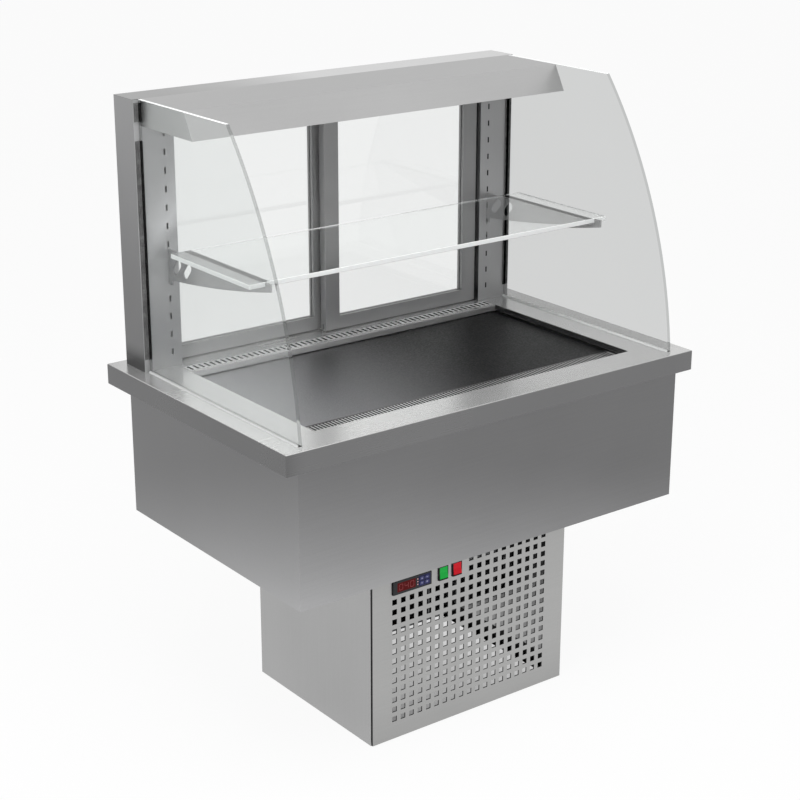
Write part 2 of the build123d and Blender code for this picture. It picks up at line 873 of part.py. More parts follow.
def window_outline():
    """Outline of the display window, between the bezel's left edge and the keys."""
    left = controller_right - controller_width + window_inset
    right = controller_right - key_centre_from_right - key_width - key_gap / 2 - window_key_gap
    return rect(left, right, controls_z - window_height / 2, controls_z + window_height / 2)


def make_window():
    """Clear window over the display."""
    return along_y(window_outline(), controls_front, controls_front + window_depth)


def make_controller():
    """Controller with its bezel, body, window recess and key pockets."""
    bezel = RectangleRounded(controller_width, controller_height, bezel_corner)
    case = along_y(Pos(controller_x, controls_z) * bezel, controls_front, controls_seat)
    case += along_y(controller_body(), controls_seat, controls_seat + controller_body_depth)
    case -= along_y(window_outline(), controls_front - sheet, controls_front + window_depth)
    pocket = Rectangle(key_width + 2 * key_play, key_height + 2 * key_play)
    floor = controls_front + key_depth + key_travel + key_play
    for place in key_places().values():
        case -= along_y(Pos(*place) * pocket, controls_front - sheet, floor)
    return case


def make_rocker(x):
    """Rocker on two pins: a block with two shallow front faces, its upper end pressed in."""
    half = switch_width / 2 - switch_wall - rocker_play
    room = switch_height / 2 - switch_wall - rocker_play
    tilt = math.radians(rocker_angle)
    tall = (room - rocker_lift * math.sin(tilt)) / (math.cos(tilt) + math.tan(tilt) * math.sin(tilt))
    rise = tall * math.tan(tilt)
    section = polygon(
        (-rocker_lift, 0),
        (-rocker_lift - rise, tall),
        (rocker_back, tall),
        (rocker_back, -tall),
        (-rocker_lift - rise, -tall),
    )
    rocker = along_x(section, -half, half)
    reach = half + rocker_play + rocker_pin_length
    rocker += along_x(Circle(rocker_pin / 2), -reach, reach)
    return Pos(x, controls_front + rocker_pivot_depth, controls_z) * Rot(-rocker_angle, 0, 0) * rocker


def make_switch_housings():
    """Frames of the two switches, with the bores that the rockers turn in."""
    housings = []
    for x in (green_x, red_x):
        middle = Pos(x, controls_z)
        frame = along_y(middle * Rectangle(switch_width, switch_height), controls_front, controls_seat)
        frame += along_y(switch_body(x), controls_seat, controls_front + switch_depth)
        hollow = middle * Rectangle(switch_width - 2 * switch_wall, switch_height - 2 * switch_wall)
        frame -= along_y(hollow, controls_front - sheet, controls_front + switch_depth - switch_wall)
        bore = Pos(controls_front + rocker_pivot_depth, controls_z) * Circle(rocker_pin / 2 + pin_clearance)
        reach = switch_width / 2 - switch_wall + rocker_pin_length + pin_clearance
        housings.append(frame - along_x(bore, x - reach, x + reach))
    return housings


# Fans, shared by the condenser and the evaporator: each turns about Y in a hole at the rear face of its plate

def blade_reach(radius):
    """How far a pitched blade stands out before and behind the fan's middle plane."""
    chord = radius * math.sin(math.radians(blade_sweep / 2))
    return chord * math.sin(math.radians(blade_pitch)) + blade_thickness


def fan_wheel(radius):
    """Hub, shaft and pitched blades: each blade is a flat fan shape turned about its own radius."""
    half = math.radians(blade_sweep / 2)
    reach = blade_reach(radius)
    root_x = (hub_radius - blade_root) * math.cos(half)
    root_z = (hub_radius - blade_root) * math.sin(half)
    tip_x = radius * math.cos(half)
    tip_z = radius * math.sin(half)
    outline = polygon((root_x, -root_z), (tip_x, -tip_z), (radius, 0), (tip_x, tip_z), (root_x, root_z))
    blade = Rot(blade_pitch, 0, 0) * along_y(outline, -blade_thickness / 2, blade_thickness / 2)
    wheel = along_y(RegularPolygon(hub_radius, hidden_sides), -reach, reach)
    for index in range(blade_count):
        wheel += Rot(0, 360 / blade_count * index, 0) * blade
    return wheel + along_y(Circle(fan_shaft), reach, reach + motor_gap + fan_shaft_grip)


def fan_motor(radius):
    """Square motor with arms whose feet stand on the plate, round the fan's hole."""
    front = blade_reach(radius) + motor_gap
    can = along_y(Rectangle(motor_width, motor_width), front, front + motor_length)
    can = chamfer(can.faces().sort_by(Axis.Y)[-1].edges(), motor_bevel)
    foot = radius + fan_tip_gap + arm_foot
    arm = along_y(rect(0, foot, -arm_width / 2, arm_width / 2), front, front + arm_thickness)
    arm += along_y(rect(foot - arm_thickness, foot, -arm_width / 2, arm_width / 2), 0, front)
    for index in range(motor_arms):
        can += Rot(0, 90 + 360 / motor_arms * index, 0) * arm
    bore = Circle(fan_shaft + pin_clearance)
    return can - along_y(bore, front - sheet, front + fan_shaft_grip + shaft_end_gap)


def fan_hole(x, z, radius, plate_rear):
    """Cutter for the hole that a fan runs in."""
    return along_y(Pos(x, z) * Circle(radius + fan_tip_gap), plate_rear - 2 * sheet, plate_rear + sheet)


# Coils

def coil_rows(height, count):
    """Heights of a coil's tube rows, as far apart as the return bends are wide and centred in the height."""
    low = (height - (count - 1) * 2 * bend_radius) / 2
    return [low + 2 * bend_radius * row for row in range(count)]


def finned_coil(width, depth, height, count):
    """Coil: upright fins and end plates on rows of tubes, joined by return bends at alternate ends."""
    fins = row_of(Rectangle(fin_thickness, depth), width - 2 * fin_pitch, fin_pitch)
    end = (width - coil_end_plate) / 2
    fins += [Pos(side * end, 0) * Rectangle(coil_end_plate, depth) for side in (-1, 1)]
    coil = along_z(fins, 0, height)
    rows = coil_rows(height, count)
    tubes = Sketch() + [Pos(0, row) * Rectangle(coil_tube, coil_tube) for row in rows]
    coil += along_x(tubes, -width / 2, width / 2)
    ring = RegularPolygon(bend_radius + coil_tube / 2, hidden_sides)
    ring -= RegularPolygon(bend_radius - coil_tube / 2, hidden_sides)
    reach = 2 * bend_radius
    bend = along_y(ring & rect(0, reach, -reach, reach), -coil_tube / 2, coil_tube / 2)
    for index, row in enumerate(rows[:-1]):
        turn = mirrored(bend) if index % 2 else bend
        side = -1 if index % 2 else 1
        coil += Pos(side * width / 2, 0, row + bend_radius) * turn
    return coil


# Condensing unit

def make_tray():
    """Raised tray across the box that carries the condensing unit."""
    return open_tray(-box_x + sheet, box_x - sheet, condenser_front, box_rear - sheet,
                     tray_height - tray_fold, tray_height, sheet, False)


def make_compressor():
    """Hermetic compressor: two drawn shells welded at a seam, on a foot plate, with a terminal box."""
    waist = compressor_base + compressor_height / 2
    low = compressor_base + compressor_crown
    high = compressor_top - compressor_crown
    can = few_sided(
        large_sides,
        (compressor_flat, compressor_base),
        (compressor_radius, low),
        (compressor_radius, high),
        (compressor_flat, compressor_top),
    )
    can += few_sided(large_sides, (compressor_reach, waist - compressor_seam),
                     (compressor_reach, waist + compressor_seam))
    plate = Rectangle(2 * (compressor_radius + foot_overhang), foot_plate_depth)
    can += along_z(plate, compressor_foot, compressor_base)
    box = rect(compressor_flat, compressor_radius + terminal_depth, -terminal_width / 2, terminal_width / 2)
    can += along_z(box, waist + compressor_seam, high)
    return Pos(compressor_x, compressor_y, 0) * can


def make_compressor_mounts():
    """Rubber feet under the corners of the foot plate."""
    pitch_x = 2 * (compressor_radius + foot_overhang - mount_inset)
    pitch_y = foot_plate_depth - 2 * mount_inset
    mounts = []
    for place in GridLocations(pitch_x, pitch_y, 2, 2):
        foot = Pos(compressor_x, compressor_y) * place * RegularPolygon(mount_radius, hidden_sides)
        mounts.append(along_z(foot, tray_height, compressor_foot))
    return mounts


def make_condenser():
    """Condenser coil, standing on the tray behind the perforated front."""
    coil = finned_coil(condenser_width, condenser_depth, condenser_height, condenser_row_count)
    return Pos(condenser_x, coil_y, tray_height) * coil


def make_shroud():
    """Fan shroud behind the condenser, open towards it."""
    outline = rect(condenser_left, condenser_right, tray_height, tray_height + condenser_height)
    block = along_y(outline, condenser_rear, shroud_rear)
    hood = offset(block, amount=-sheet, openings=block.faces().sort_by(Axis.Y)[0])
    return hood - fan_hole(condenser_x, condenser_fan_z, condenser_fan_radius, shroud_rear)


def make_gland():
    """Cable gland in the rear panel: a hexagonal nut inside, a like cap outside and a bore through both."""
    inner = box_rear - sheet
    nut = inner - gland_nut
    end = box_rear + gland_length
    hexagon = RegularPolygon(gland_radius, gland_sides)
    gland = along_y(hexagon, nut, inner) + along_y(hexagon, box_rear, end)
    gland += along_y(Circle(gland_neck), inner, box_rear)
    gland -= along_y(RegularPolygon(gland_bore, hidden_sides), nut - sheet, end + sheet)
    return Pos(gland_x, 0, gland_z) * gland


# Evaporator

def make_evaporator():
    """Evaporator coil on the floor of the tub."""
    width = evaporator_right - evaporator_left
    coil = finned_coil(width, evaporator_depth, evaporator_height, evaporator_row_count)
    return Pos(evaporator_left + width / 2, coil_y, liner_floor) * coil


def make_fan_plate():
    """Plate across the tub behind the evaporator, with a foot on the floor and the holes of the two fans."""
    section = folded(sheet, (fan_plate_y + fan_plate_foot, liner_floor), (fan_plate_y, liner_floor),
                     (fan_plate_y, fan_plate_top))
    plate = along_x(section, -fan_plate_x, fan_plate_x)
    for x in (-evaporator_fan_spread / 2, evaporator_fan_spread / 2):
        plate -= fan_hole(x, fan_axis_z, evaporator_fan_radius, fan_plate_y + sheet)
    return plate


def make_evaporator_fans():
    """The two fans that blow towards the rear grille: their wheels, and both motors."""
    places = [Pos(side * evaporator_fan_spread / 2, fan_plate_y + sheet, fan_axis_z) for side in (-1, 1)]
    wheel = fan_wheel(evaporator_fan_radius)
    motor = fan_motor(evaporator_fan_radius)
    return {
        "evaporator_fan_left": places[0] * wheel,
        "evaporator_fan_right": places[1] * wheel,
        "evaporator_fan_motors": [place * motor for place in places],
    }


def make_drain():
    """Drain pipe with a flange on the floor of the tub."""
    bore = drain_radius - drain_wall
    low = tub_bottom - drain_drop
    top = liner_floor + drain_flange_thickness
    drain = few_sided(large_sides, (drain_radius, low), (drain_radius, liner_floor))
    drain += few_sided(large_sides, (drain_flange, liner_floor), (drain_flange, top))
    drain -= few_sided(large_sides, (bore, low), (bore, top))
    return Pos(drain_x, coil_y, 0) * drain


# Refrigerant circuit

def pipe(radius, *points):
    """Pipe of few sides along straight runs, with every corner of the route cut off."""
    line = [Vector(*point) for point in points]
    route = [line[0]]
    for before, corner, after in zip(line, line[1:], line[2:]):
        route.append(corner + (before - corner).normalized() * pipe_bend)
        route.append(corner + (after - corner).normalized() * pipe_bend)
    route.append(line[-1])
    path = Polyline(*route)
    start = Plane(origin=path @ 0, z_dir=path % 0)
    return sweep(start * RegularPolygon(radius, hidden_sides), path=path, transition=Transition.RIGHT)


def make_pipes():
    """Discharge, liquid and suction pipes; the filter drier is brazed into the liquid pipe."""
    condenser_rows = coil_rows(condenser_height, condenser_row_count)
    hot_z = tray_height + condenser_rows[-1]
    liquid_z = tray_height + condenser_rows[0]
    evaporator_rows = coil_rows(evaporator_height, evaporator_row_count)
    feed_z = liner_floor + evaporator_rows[0]
    cold_z = liner_floor + evaporator_rows[-1]
    level = max(compressor_top, hot_z) + pipe_rise
    lead_x = condenser_left - pipe_lead
    hot_x = compressor_x + port_spread
    hot_y = compressor_y + port_spread
    cold_x = compressor_x - port_spread
    discharge = pipe(
        discharge_pipe,
        (hot_x, hot_y, compressor_top),
        (hot_x, hot_y, level),
        (lead_x, coil_y, level),
        (lead_x, coil_y, hot_z),
        (condenser_left, coil_y, hot_z),
    )
    drier_z = liquid_z + drier_rise
    drier_end = drier_z + drier_length
    bottle = few_sided(
        hidden_sides,
        (liquid_pipe, drier_z),
        (drier_radius, drier_z + drier_taper),
        (drier_radius, drier_end - drier_taper),
        (liquid_pipe, drier_end),
    )
    liquid = Pos(drier_x, coil_y, 0) * bottle
    liquid += pipe(liquid_pipe, (condenser_left, coil_y, liquid_z), (drier_x, coil_y, liquid_z),
                   (drier_x, coil_y, drier_z))
    liquid += pipe(liquid_pipe, (drier_x, coil_y, drier_end), (drier_x, coil_y, feed_z),
                   (evaporator_left, coil_y, feed_z))
    suction = pipe(
        suction_pipe,
        (evaporator_left, coil_y, cold_z),
        (suction_x, coil_y, cold_z),
        (suction_x, coil_y, level),
        (cold_x, compressor_y, level),
        (cold_x, compressor_y, compressor_top),
    )
    return [discharge, liquid, suction]


# Every piece under its own name; a list is a group of like solids

fan_place = Pos(condenser_x, shroud_rear, condenser_fan_z)
nodes = {
    "worktop": make_worktop(),
    "insulation": make_insulation(),
    "liner": make_liner(),
    "deck_plate": make_deck(),
    "front_air_grille": make_front_grille(),
    "rear_air_grille": make_rear_grille(),
    "post_left": make_post_left(),
    "post_right": mirrored(make_post_left()),
    "header": make_header(),
    "canopy": make_canopy(),
    "lamp_bar": make_lamp(),
    "side_glass_left": make_side_glass_left(),
    "side_glass_right": mirrored(make_side_glass_left()),
    "glass_seals": make_glass_seals(),
    "shelf_glass": make_shelf(),
    "shelf_bracket_left": make_bracket_left(),
    "shelf_bracket_right": mirrored(make_bracket_left()),
    "door_right_bumper": make_bumper(),
    "top_track": make_top_track(),
    "door_guide": make_door_guide(),
    "box_left_panel": make_box_side_left(),
    "box_right_panel": mirrored(make_box_side_left()),
    "box_rear_panel": make_box_rear(),
    "perforated_front_panel": make_perforated_panel(),
    "control_bracket": make_control_bracket(),
    "controller": make_controller(),
    "controller_window": make_window(),
    "green_rocker": make_rocker(green_x),
    "red_rocker": make_rocker(red_x),
    "switch_housings": make_switch_housings(),
    "unit_tray": make_tray(),
    "compressor": make_compressor(),
    "compressor_mounts": make_compressor_mounts(),
    "condenser_coil": make_condenser(),
    "fan_shroud": make_shroud(),
    "condenser_fan_blade": fan_place * fan_wheel(condenser_fan_radius),
    "condenser_fan_motor": fan_place * fan_motor(condenser_fan_radius),
    "cable_gland": make_gland(),
    "evaporator_coil": make_evaporator(),
    "evaporator_fan_plate": make_fan_plate(),
    "drain_pipe": make_drain(),
    "refrigerant_pipes": make_pipes(),
}
nodes.update(make_casing())
nodes.update(make_keys())
nodes.update(make_evaporator_fans())
nodes.update(make_door(left_door_end, outer_lane, "door_left"))
nodes.update(make_door(right_door_end - door_width, inner_lane, "door_right"))

os.makedirs("parts", exist_ok=True)
for name, shape in nodes.items():
    group = Compound(children=shape) if isinstance(shape, list) else shape
    export_step(group, "parts/" + name + ".step")
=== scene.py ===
"""Finishes, controls and studio for the refrigerated drop-in display case.

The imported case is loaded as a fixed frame, in metres. Each operator below dresses one group of pieces with
its own node materials, or adds the small pieces that the frame leaves out, and the last one sets the studio.
"""

import json
import math

import bpy
import numpy as np
from bpy.props import FloatProperty, FloatVectorProperty, PointerProperty, StringProperty
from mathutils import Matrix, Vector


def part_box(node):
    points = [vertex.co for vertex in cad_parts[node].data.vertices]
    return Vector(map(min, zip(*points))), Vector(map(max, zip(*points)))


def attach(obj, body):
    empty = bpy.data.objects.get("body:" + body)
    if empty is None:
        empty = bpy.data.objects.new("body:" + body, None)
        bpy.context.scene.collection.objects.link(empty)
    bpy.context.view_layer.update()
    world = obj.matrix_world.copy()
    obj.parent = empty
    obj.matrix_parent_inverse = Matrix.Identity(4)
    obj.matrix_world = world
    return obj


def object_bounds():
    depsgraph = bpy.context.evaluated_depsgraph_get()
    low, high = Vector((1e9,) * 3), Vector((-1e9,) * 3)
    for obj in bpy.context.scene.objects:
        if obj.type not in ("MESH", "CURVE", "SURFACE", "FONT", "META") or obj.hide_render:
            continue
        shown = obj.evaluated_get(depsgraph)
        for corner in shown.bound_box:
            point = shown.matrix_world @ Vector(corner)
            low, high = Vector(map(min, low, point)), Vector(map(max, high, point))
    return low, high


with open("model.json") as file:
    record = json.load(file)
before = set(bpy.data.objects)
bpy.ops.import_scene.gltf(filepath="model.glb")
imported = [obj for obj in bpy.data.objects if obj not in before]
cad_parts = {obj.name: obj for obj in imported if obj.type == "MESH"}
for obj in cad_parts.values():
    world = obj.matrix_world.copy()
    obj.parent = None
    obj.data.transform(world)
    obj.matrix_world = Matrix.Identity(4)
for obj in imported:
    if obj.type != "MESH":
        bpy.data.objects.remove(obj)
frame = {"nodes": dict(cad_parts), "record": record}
CAD_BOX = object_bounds()

bl_info = {
    "name": "Display Case Finishes",
    "version": (1, 0, 0),
    "blender": (4, 5, 0),
    "location": "3D View > Sidebar > Display Case",
    "description": "Dresses the refrigerated display case in steel, glass and plastic and lights it",
    "category": "Object",
}

# Pitch, roll and heading of the camera
CAMERA_TURN = (math.radians(70.633), math.radians(-0.113), math.radians(-37.226))

# All of a share, and the two ranges in which most of a noise lies
ALL = (0.0, 1.0)
BAND = (0.3, 0.7)
WIDE_BAND = (0.25, 0.75)

# Axes of the case: to the right, to the rear and up
X, Y, Z = range(3)

# How far a face looks along an axis, from not yet to fully: either way, up and to the front
TURNED = (0.5, 0.9)
UPWARD = (0.55, 0.9)
FORWARD = (-0.5, -0.9)


# Settings that a user would change

def tone(label, text, value):
    """A colour setting in linear light."""
    return FloatVectorProperty(name=label, description=text, subtype="COLOR", size=3, min=0.0, max=1.0,
                               default=value)


def length(label, text, value):
    """A length setting in metres."""
    return FloatProperty(name=label, description=text, subtype="DISTANCE", unit="LENGTH", min=0.0,
                         default=value)


def share(label, text, value):
    """A share between nothing and all."""
    return FloatProperty(name=label, description=text, subtype="FACTOR", min=0.0, max=1.0, default=value)


class SteelSettings(bpy.types.PropertyGroup):
    """Tones and grain of the brushed sheets."""

    # Painted light and shade: all sheets but the inner one are one stainless steel, and each tone stands in
    # for what that sheet reflects
    # The top tones are a second painted tone for what faces up, apart from the sides
    worktop_top: tone("Worktop top", "Bright sheet that faces up", (0.54, 0.54, 0.537))
    worktop_side: tone("Worktop apron", "Turned-down apron of the worktop", (0.168, 0.168, 0.170))
    tub: tone("Tub casing", "Four panels of the tub under the counter", (0.172, 0.172, 0.174))
    front_grille: tone("Front grille", "Upper side of the front air grille", (0.36, 0.36, 0.36))
    rear_grille: tone("Rear grille", "Upper side of the rear air grille", (0.72, 0.72, 0.72))
    box_front: tone("Box front", "Perforated front of the lower box", (0.39, 0.39, 0.386))
    box_side: tone("Box sides", "Side and rear panels of the lower box", (0.385, 0.385, 0.385))
    canopy: tone("Canopy", "Folded sheet over the case", (0.485, 0.485, 0.485))
    canopy_top: tone("Canopy top", "Flat top of the canopy", (0.405, 0.405, 0.405))
    post: tone("Posts", "Rear uprights", (0.15, 0.15, 0.152))
    header: tone("Header", "Beam between the posts", (0.26, 0.26, 0.262))
    header_top: tone("Header top", "Upper side of the beam", (0.27, 0.27, 0.27))
    bracket: tone("Shelf brackets", "Arms under the glass shelf", (0.36, 0.36, 0.362))
    door: tone("Door frames", "Frames of the sliding doors", (0.30, 0.30, 0.302))
    deck: tone("Deck", "Dark coarse sheet in the well", (0.031, 0.031, 0.032))
    inner: tone("Inner sheet", "Plain sheet inside the tub and the box", (0.25, 0.255, 0.26))
    roughness: share("Roughness", "How far the brushed sheet spreads a reflection", 0.34)
    # Over this width the folds are lighter, as wear and as a painted highlight
    edge: length("Worn edge", "Width of the rubbed edge on each fold", 0.0007)


class GlassSettings(bpy.types.PropertyGroup):
    """Tints of the glass."""

    left: tone("Left side glass", "Thick side glass on the left", (0.875, 0.888, 0.884))
    # Painted shade: the right side glass is the same glass as the left, tinted darker
    right: tone("Right side glass", "Thick side glass on the right", (0.665, 0.672, 0.669))
    shelf: tone("Shelf glass", "Glass shelf", (0.965, 0.975, 0.97))
    pane: tone("Door glass", "Panes of the sliding doors", (0.89, 0.90, 0.895))
    ground: share("Ground edge", "Roughness of the ground edges", 0.30)
    # Painted light: upper edges are whiter than the other edges
    milky: share("Milky edge", "How far the upper edges are white instead of clear", 0.85)
    veil: share("Edge veil", "How far the front edges are white instead of clear", 0.03)
    # Painted reflection: a white veil on the left side glass, at its front and fainter beside its post
    reflection_veil: share("Left haze", "How far the front of the left side glass is white instead of clear", 0.064)
    rear_reflection_veil: share("Left haze at the post", "How far the left side glass is white beside its post", 0.014)
    bend: FloatProperty(name="Side glass bend", description="Refractive index of the side glass",
                        default=1.03)
    cut: share("Cut edge", "Roughness of the edges of the side glass", 0.12)
    bead: length("Bead", "Size of the sealing bead at the foot of the side glass", 0.004)
    bead_tone: tone("Bead tone", "Sealing bead at the foot of the side glass", (0.50, 0.51, 0.505))
    # Painted light: upper edges take the lighter crest tone, other edges this darker one
    edge: tone("Edge tone", "Front edges of the side glass and of the panes", (0.46, 0.468, 0.465))
    crest: tone("Crest tone", "Upper edges of the glass and all edges of the shelf", (0.90, 0.915, 0.91))


class ControlSettings(bpy.types.PropertyGroup):
    """Controller, switches and their colours."""

    reading: StringProperty(name="Reading", description="Three figures in the display", default="040")
    digit: tone("Digits", "Lit segments of the display", (0.22, 0.013, 0.016))
    window: tone("Window", "Tinted window over the display", (0.115, 0.006, 0.007))
    indicator: tone("Indicators", "Three small lamps beside the display", (0.80, 0.45, 0.48))
    key: tone("Keys", "Key caps of the controller", (0.028, 0.032, 0.16))
    mark: tone("Key marks", "Printed marks on the key caps", (0.42, 0.42, 0.62))
    field: tone("Key field", "Printed field round the keys", (0.022, 0.024, 0.085))
    green: tone("Green rocker", "Main switch", (0.014, 0.52, 0.072))
    red: tone("Red rocker", "Lamp switch", (0.78, 0.012, 0.026))


class StageSettings(bpy.types.PropertyGroup):
    """Camera, lamps and floor."""

    camera_place: FloatVectorProperty(name="Camera place", description="Where the camera stands",
                                      subtype="TRANSLATION", size=3, default=(-2.3464, -3.0721, 2.0321))
    camera_turn: FloatVectorProperty(name="Camera turn", description="Pitch, roll and heading of the camera",
                                     subtype="EULER", size=3, default=CAMERA_TURN)
    lens: FloatProperty(name="Lens", description="Focal length in millimetres on a 36 mm sensor",
                        default=82.25)
    key_power: FloatProperty(name="Key lamp", description="Power of the large soft lamp overhead",
                             subtype="POWER", default=70.0)
    fill_power: FloatProperty(name="Fill lamp", description="Power of the soft lamp at the front left",
                              subtype="POWER", default=35.0)
    ambient: share("Ambient", "Strength of the white surroundings on matt surfaces", 0.55)
    floor: tone("Floor", "Pale matt floor", (0.86, 0.86, 0.86))
    floor_shadow: share("Floor shadow", "How much of the floor's shade shows against the white", 0.08)
    inside_shadow: share("Shade in the box", "How much of the shade shows on the floor in the box", 0.97)


# Node helpers

def add_node(tree, kind, **values):
    """One node of that kind, with its own properties set by name."""
    node = tree.nodes.new(kind)
    for name, value in values.items():
        setattr(node, name, value)
    return node


def blank_material(name, **sockets):
    """A material with a Principled shader, whose sockets are set to constant values by name."""
    material = bpy.data.materials.new(name)
    material.use_nodes = True
    tree = material.node_tree
    shader = tree.nodes["Principled BSDF"]
    for socket, value in sockets.items():
        shader.inputs[socket.replace("_", " ")].default_value = value
    return material, tree, shader


def math_node(tree, operation, first, second=0.5):
    """Arithmetic on two numbers, each a constant or a socket."""
    node = add_node(tree, "ShaderNodeMath", operation=operation)
    for socket, value in zip(node.inputs, (first, second)):
        if isinstance(value, bpy.types.NodeSocket):
            tree.links.new(value, socket)
        else:
            socket.default_value = value
    return node.outputs[0]


def spread(tree, value, low, high, to_low, to_high):
    """Carries a value from one range to another, and stays inside the second."""
    node = add_node(tree, "ShaderNodeMapRange", clamp=True)
    tree.links.new(value, node.inputs["Value"])
    for name, number in (("From Min", low), ("From Max", high), ("To Min", to_low), ("To Max", to_high)):
        node.inputs[name].default_value = number
    return node.outputs["Result"]


def mixed(tree, factor, first, second):
    """Blends two colours, each a constant or a socket, by a factor."""
    node = add_node(tree, "ShaderNodeMix", data_type="RGBA")
    tree.links.new(factor, node.inputs[0])
    for socket, value in ((node.inputs[6], first), (node.inputs[7], second)):
        if isinstance(value, bpy.types.NodeSocket):
            tree.links.new(value, socket)
        else:
            socket.default_value = (*value, 1.0)
    return node.outputs[2]


def scaled(tree, colour, factor):
    """A colour made lighter or darker by a factor."""
    node = add_node(tree, "ShaderNodeVectorMath", operation="SCALE")
    tree.links.new(colour, node.inputs[0])
    tree.links.new(factor, node.inputs["Scale"])
    return node.outputs[0]


def tinted(colour, factor):
    """A constant colour made lighter or darker by a factor."""
    return tuple(factor * channel for channel in colour)


def coordinates(tree, stretch=(1.0, 1.0, 1.0)):
    """Object coordinates, stretched along each axis."""
    place = add_node(tree, "ShaderNodeTexCoord")
    mapping = add_node(tree, "ShaderNodeMapping")
    mapping.inputs["Scale"].default_value = stretch
    tree.links.new(place.outputs["Object"], mapping.inputs["Vector"])
    return mapping.outputs["Vector"]


def noise(tree, vector, scale, detail=2.0, roughness=0.5):
    """Smooth noise from nothing to one on the given coordinates."""
    node = add_node(tree, "ShaderNodeTexNoise")
    tree.links.new(vector, node.inputs["Vector"])
    node.inputs["Scale"].default_value = scale
    node.inputs["Detail"].default_value = detail
    node.inputs["Roughness"].default_value = roughness
    return node.outputs[0]


def facing(tree, axis):
    """How far a face looks along one axis of its object: from minus one to one."""
    place = add_node(tree, "ShaderNodeTexCoord")
    split = add_node(tree, "ShaderNodeSeparateXYZ")
    tree.links.new(place.outputs["Normal"], split.inputs[0])
    return split.outputs[axis]


def looking(tree, axis, across=0.0, along=1.0, turned=TURNED):
    """One value on a face that looks across an axis, and another where it looks along it, either way."""
    return spread(tree, math_node(tree, "ABSOLUTE", facing(tree, axis)), *turned, across, along)


def within(tree, low, high):
    """One inside a box of the object's own space, mirrored about the middle plane, and nothing outside it."""
    split = add_node(tree, "ShaderNodeSeparateXYZ")
    tree.links.new(coordinates(tree), split.inputs[0])
    places = (math_node(tree, "ABSOLUTE", split.outputs[X]), split.outputs[Y], split.outputs[Z])
    masks = [math_node(tree, "MULTIPLY", math_node(tree, "GREATER_THAN", place, least),
                       math_node(tree, "LESS_THAN", place, most))
             for place, least, most in zip(places, low, high)]
    return math_node(tree, "MULTIPLY", math_node(tree, "MULTIPLY", masks[0], masks[1]), masks[2])


def bump(tree, shader, height, strength, distance, under=None):
    """Fine relief from a height value, laid over another normal where one is given."""
    node = add_node(tree, "ShaderNodeBump")
    node.inputs["Strength"].default_value = strength
    node.inputs["Distance"].default_value = distance
    tree.links.new(height, node.inputs["Height"])
    if under is not None:
        tree.links.new(under, node.inputs["Normal"])
    tree.links.new(node.outputs["Normal"], shader.inputs["Normal"])


def rubbed_and_highlit_edges(tree, width):
    """The rounded normal near a fold, and a mask that is one on the fold and nothing on the flat."""
    folded = (0.985, 0.86)
    rounded = add_node(tree, "ShaderNodeBevel", samples=4)
    rounded.inputs["Radius"].default_value = width
    flat = add_node(tree, "ShaderNodeNewGeometry")
    compare = add_node(tree, "ShaderNodeVectorMath", operation="DOT_PRODUCT")
    tree.links.new(rounded.outputs["Normal"], compare.inputs[0])
    tree.links.new(flat.outputs["Normal"], compare.inputs[1])
    return rounded.outputs["Normal"], spread(tree, compare.outputs["Value"], *folded, *ALL)


# Finishes

# Scale of the streaks along each axis, for sheet brushed along X or Z and for satin sheet
GRAIN = {"x": (5.0, 330.0, 330.0), "z": (330.0, 330.0, 5.0), "satin": (260.0, 260.0, 260.0)}

# How fast a painted drift of light or shade dies out towards its end
DRIFT_CURVE = 1.6


def painted_drift(tree, direction, start, end, gain):
    """A slow painted shine or shade across a sheet: one plus the gain at the start, and one from the end on.
    """
    along = add_node(tree, "ShaderNodeVectorMath", operation="DOT_PRODUCT")
    tree.links.new(coordinates(tree), along.inputs[0])
    along.inputs[1].default_value = direction
    rest = spread(tree, along.outputs["Value"], start, end, 1.0, 0.0)
    curve = math_node(tree, "POWER", rest, DRIFT_CURVE)
    return math_node(tree, "ADD", math_node(tree, "MULTIPLY", curve, gain), 1.0)


def drifted(tree, value, drifts):
    """A level carried through several painted shines and shades."""
    for change in drifts:
        value = math_node(tree, "MULTIPLY", value, painted_drift(tree, *change))
    return value


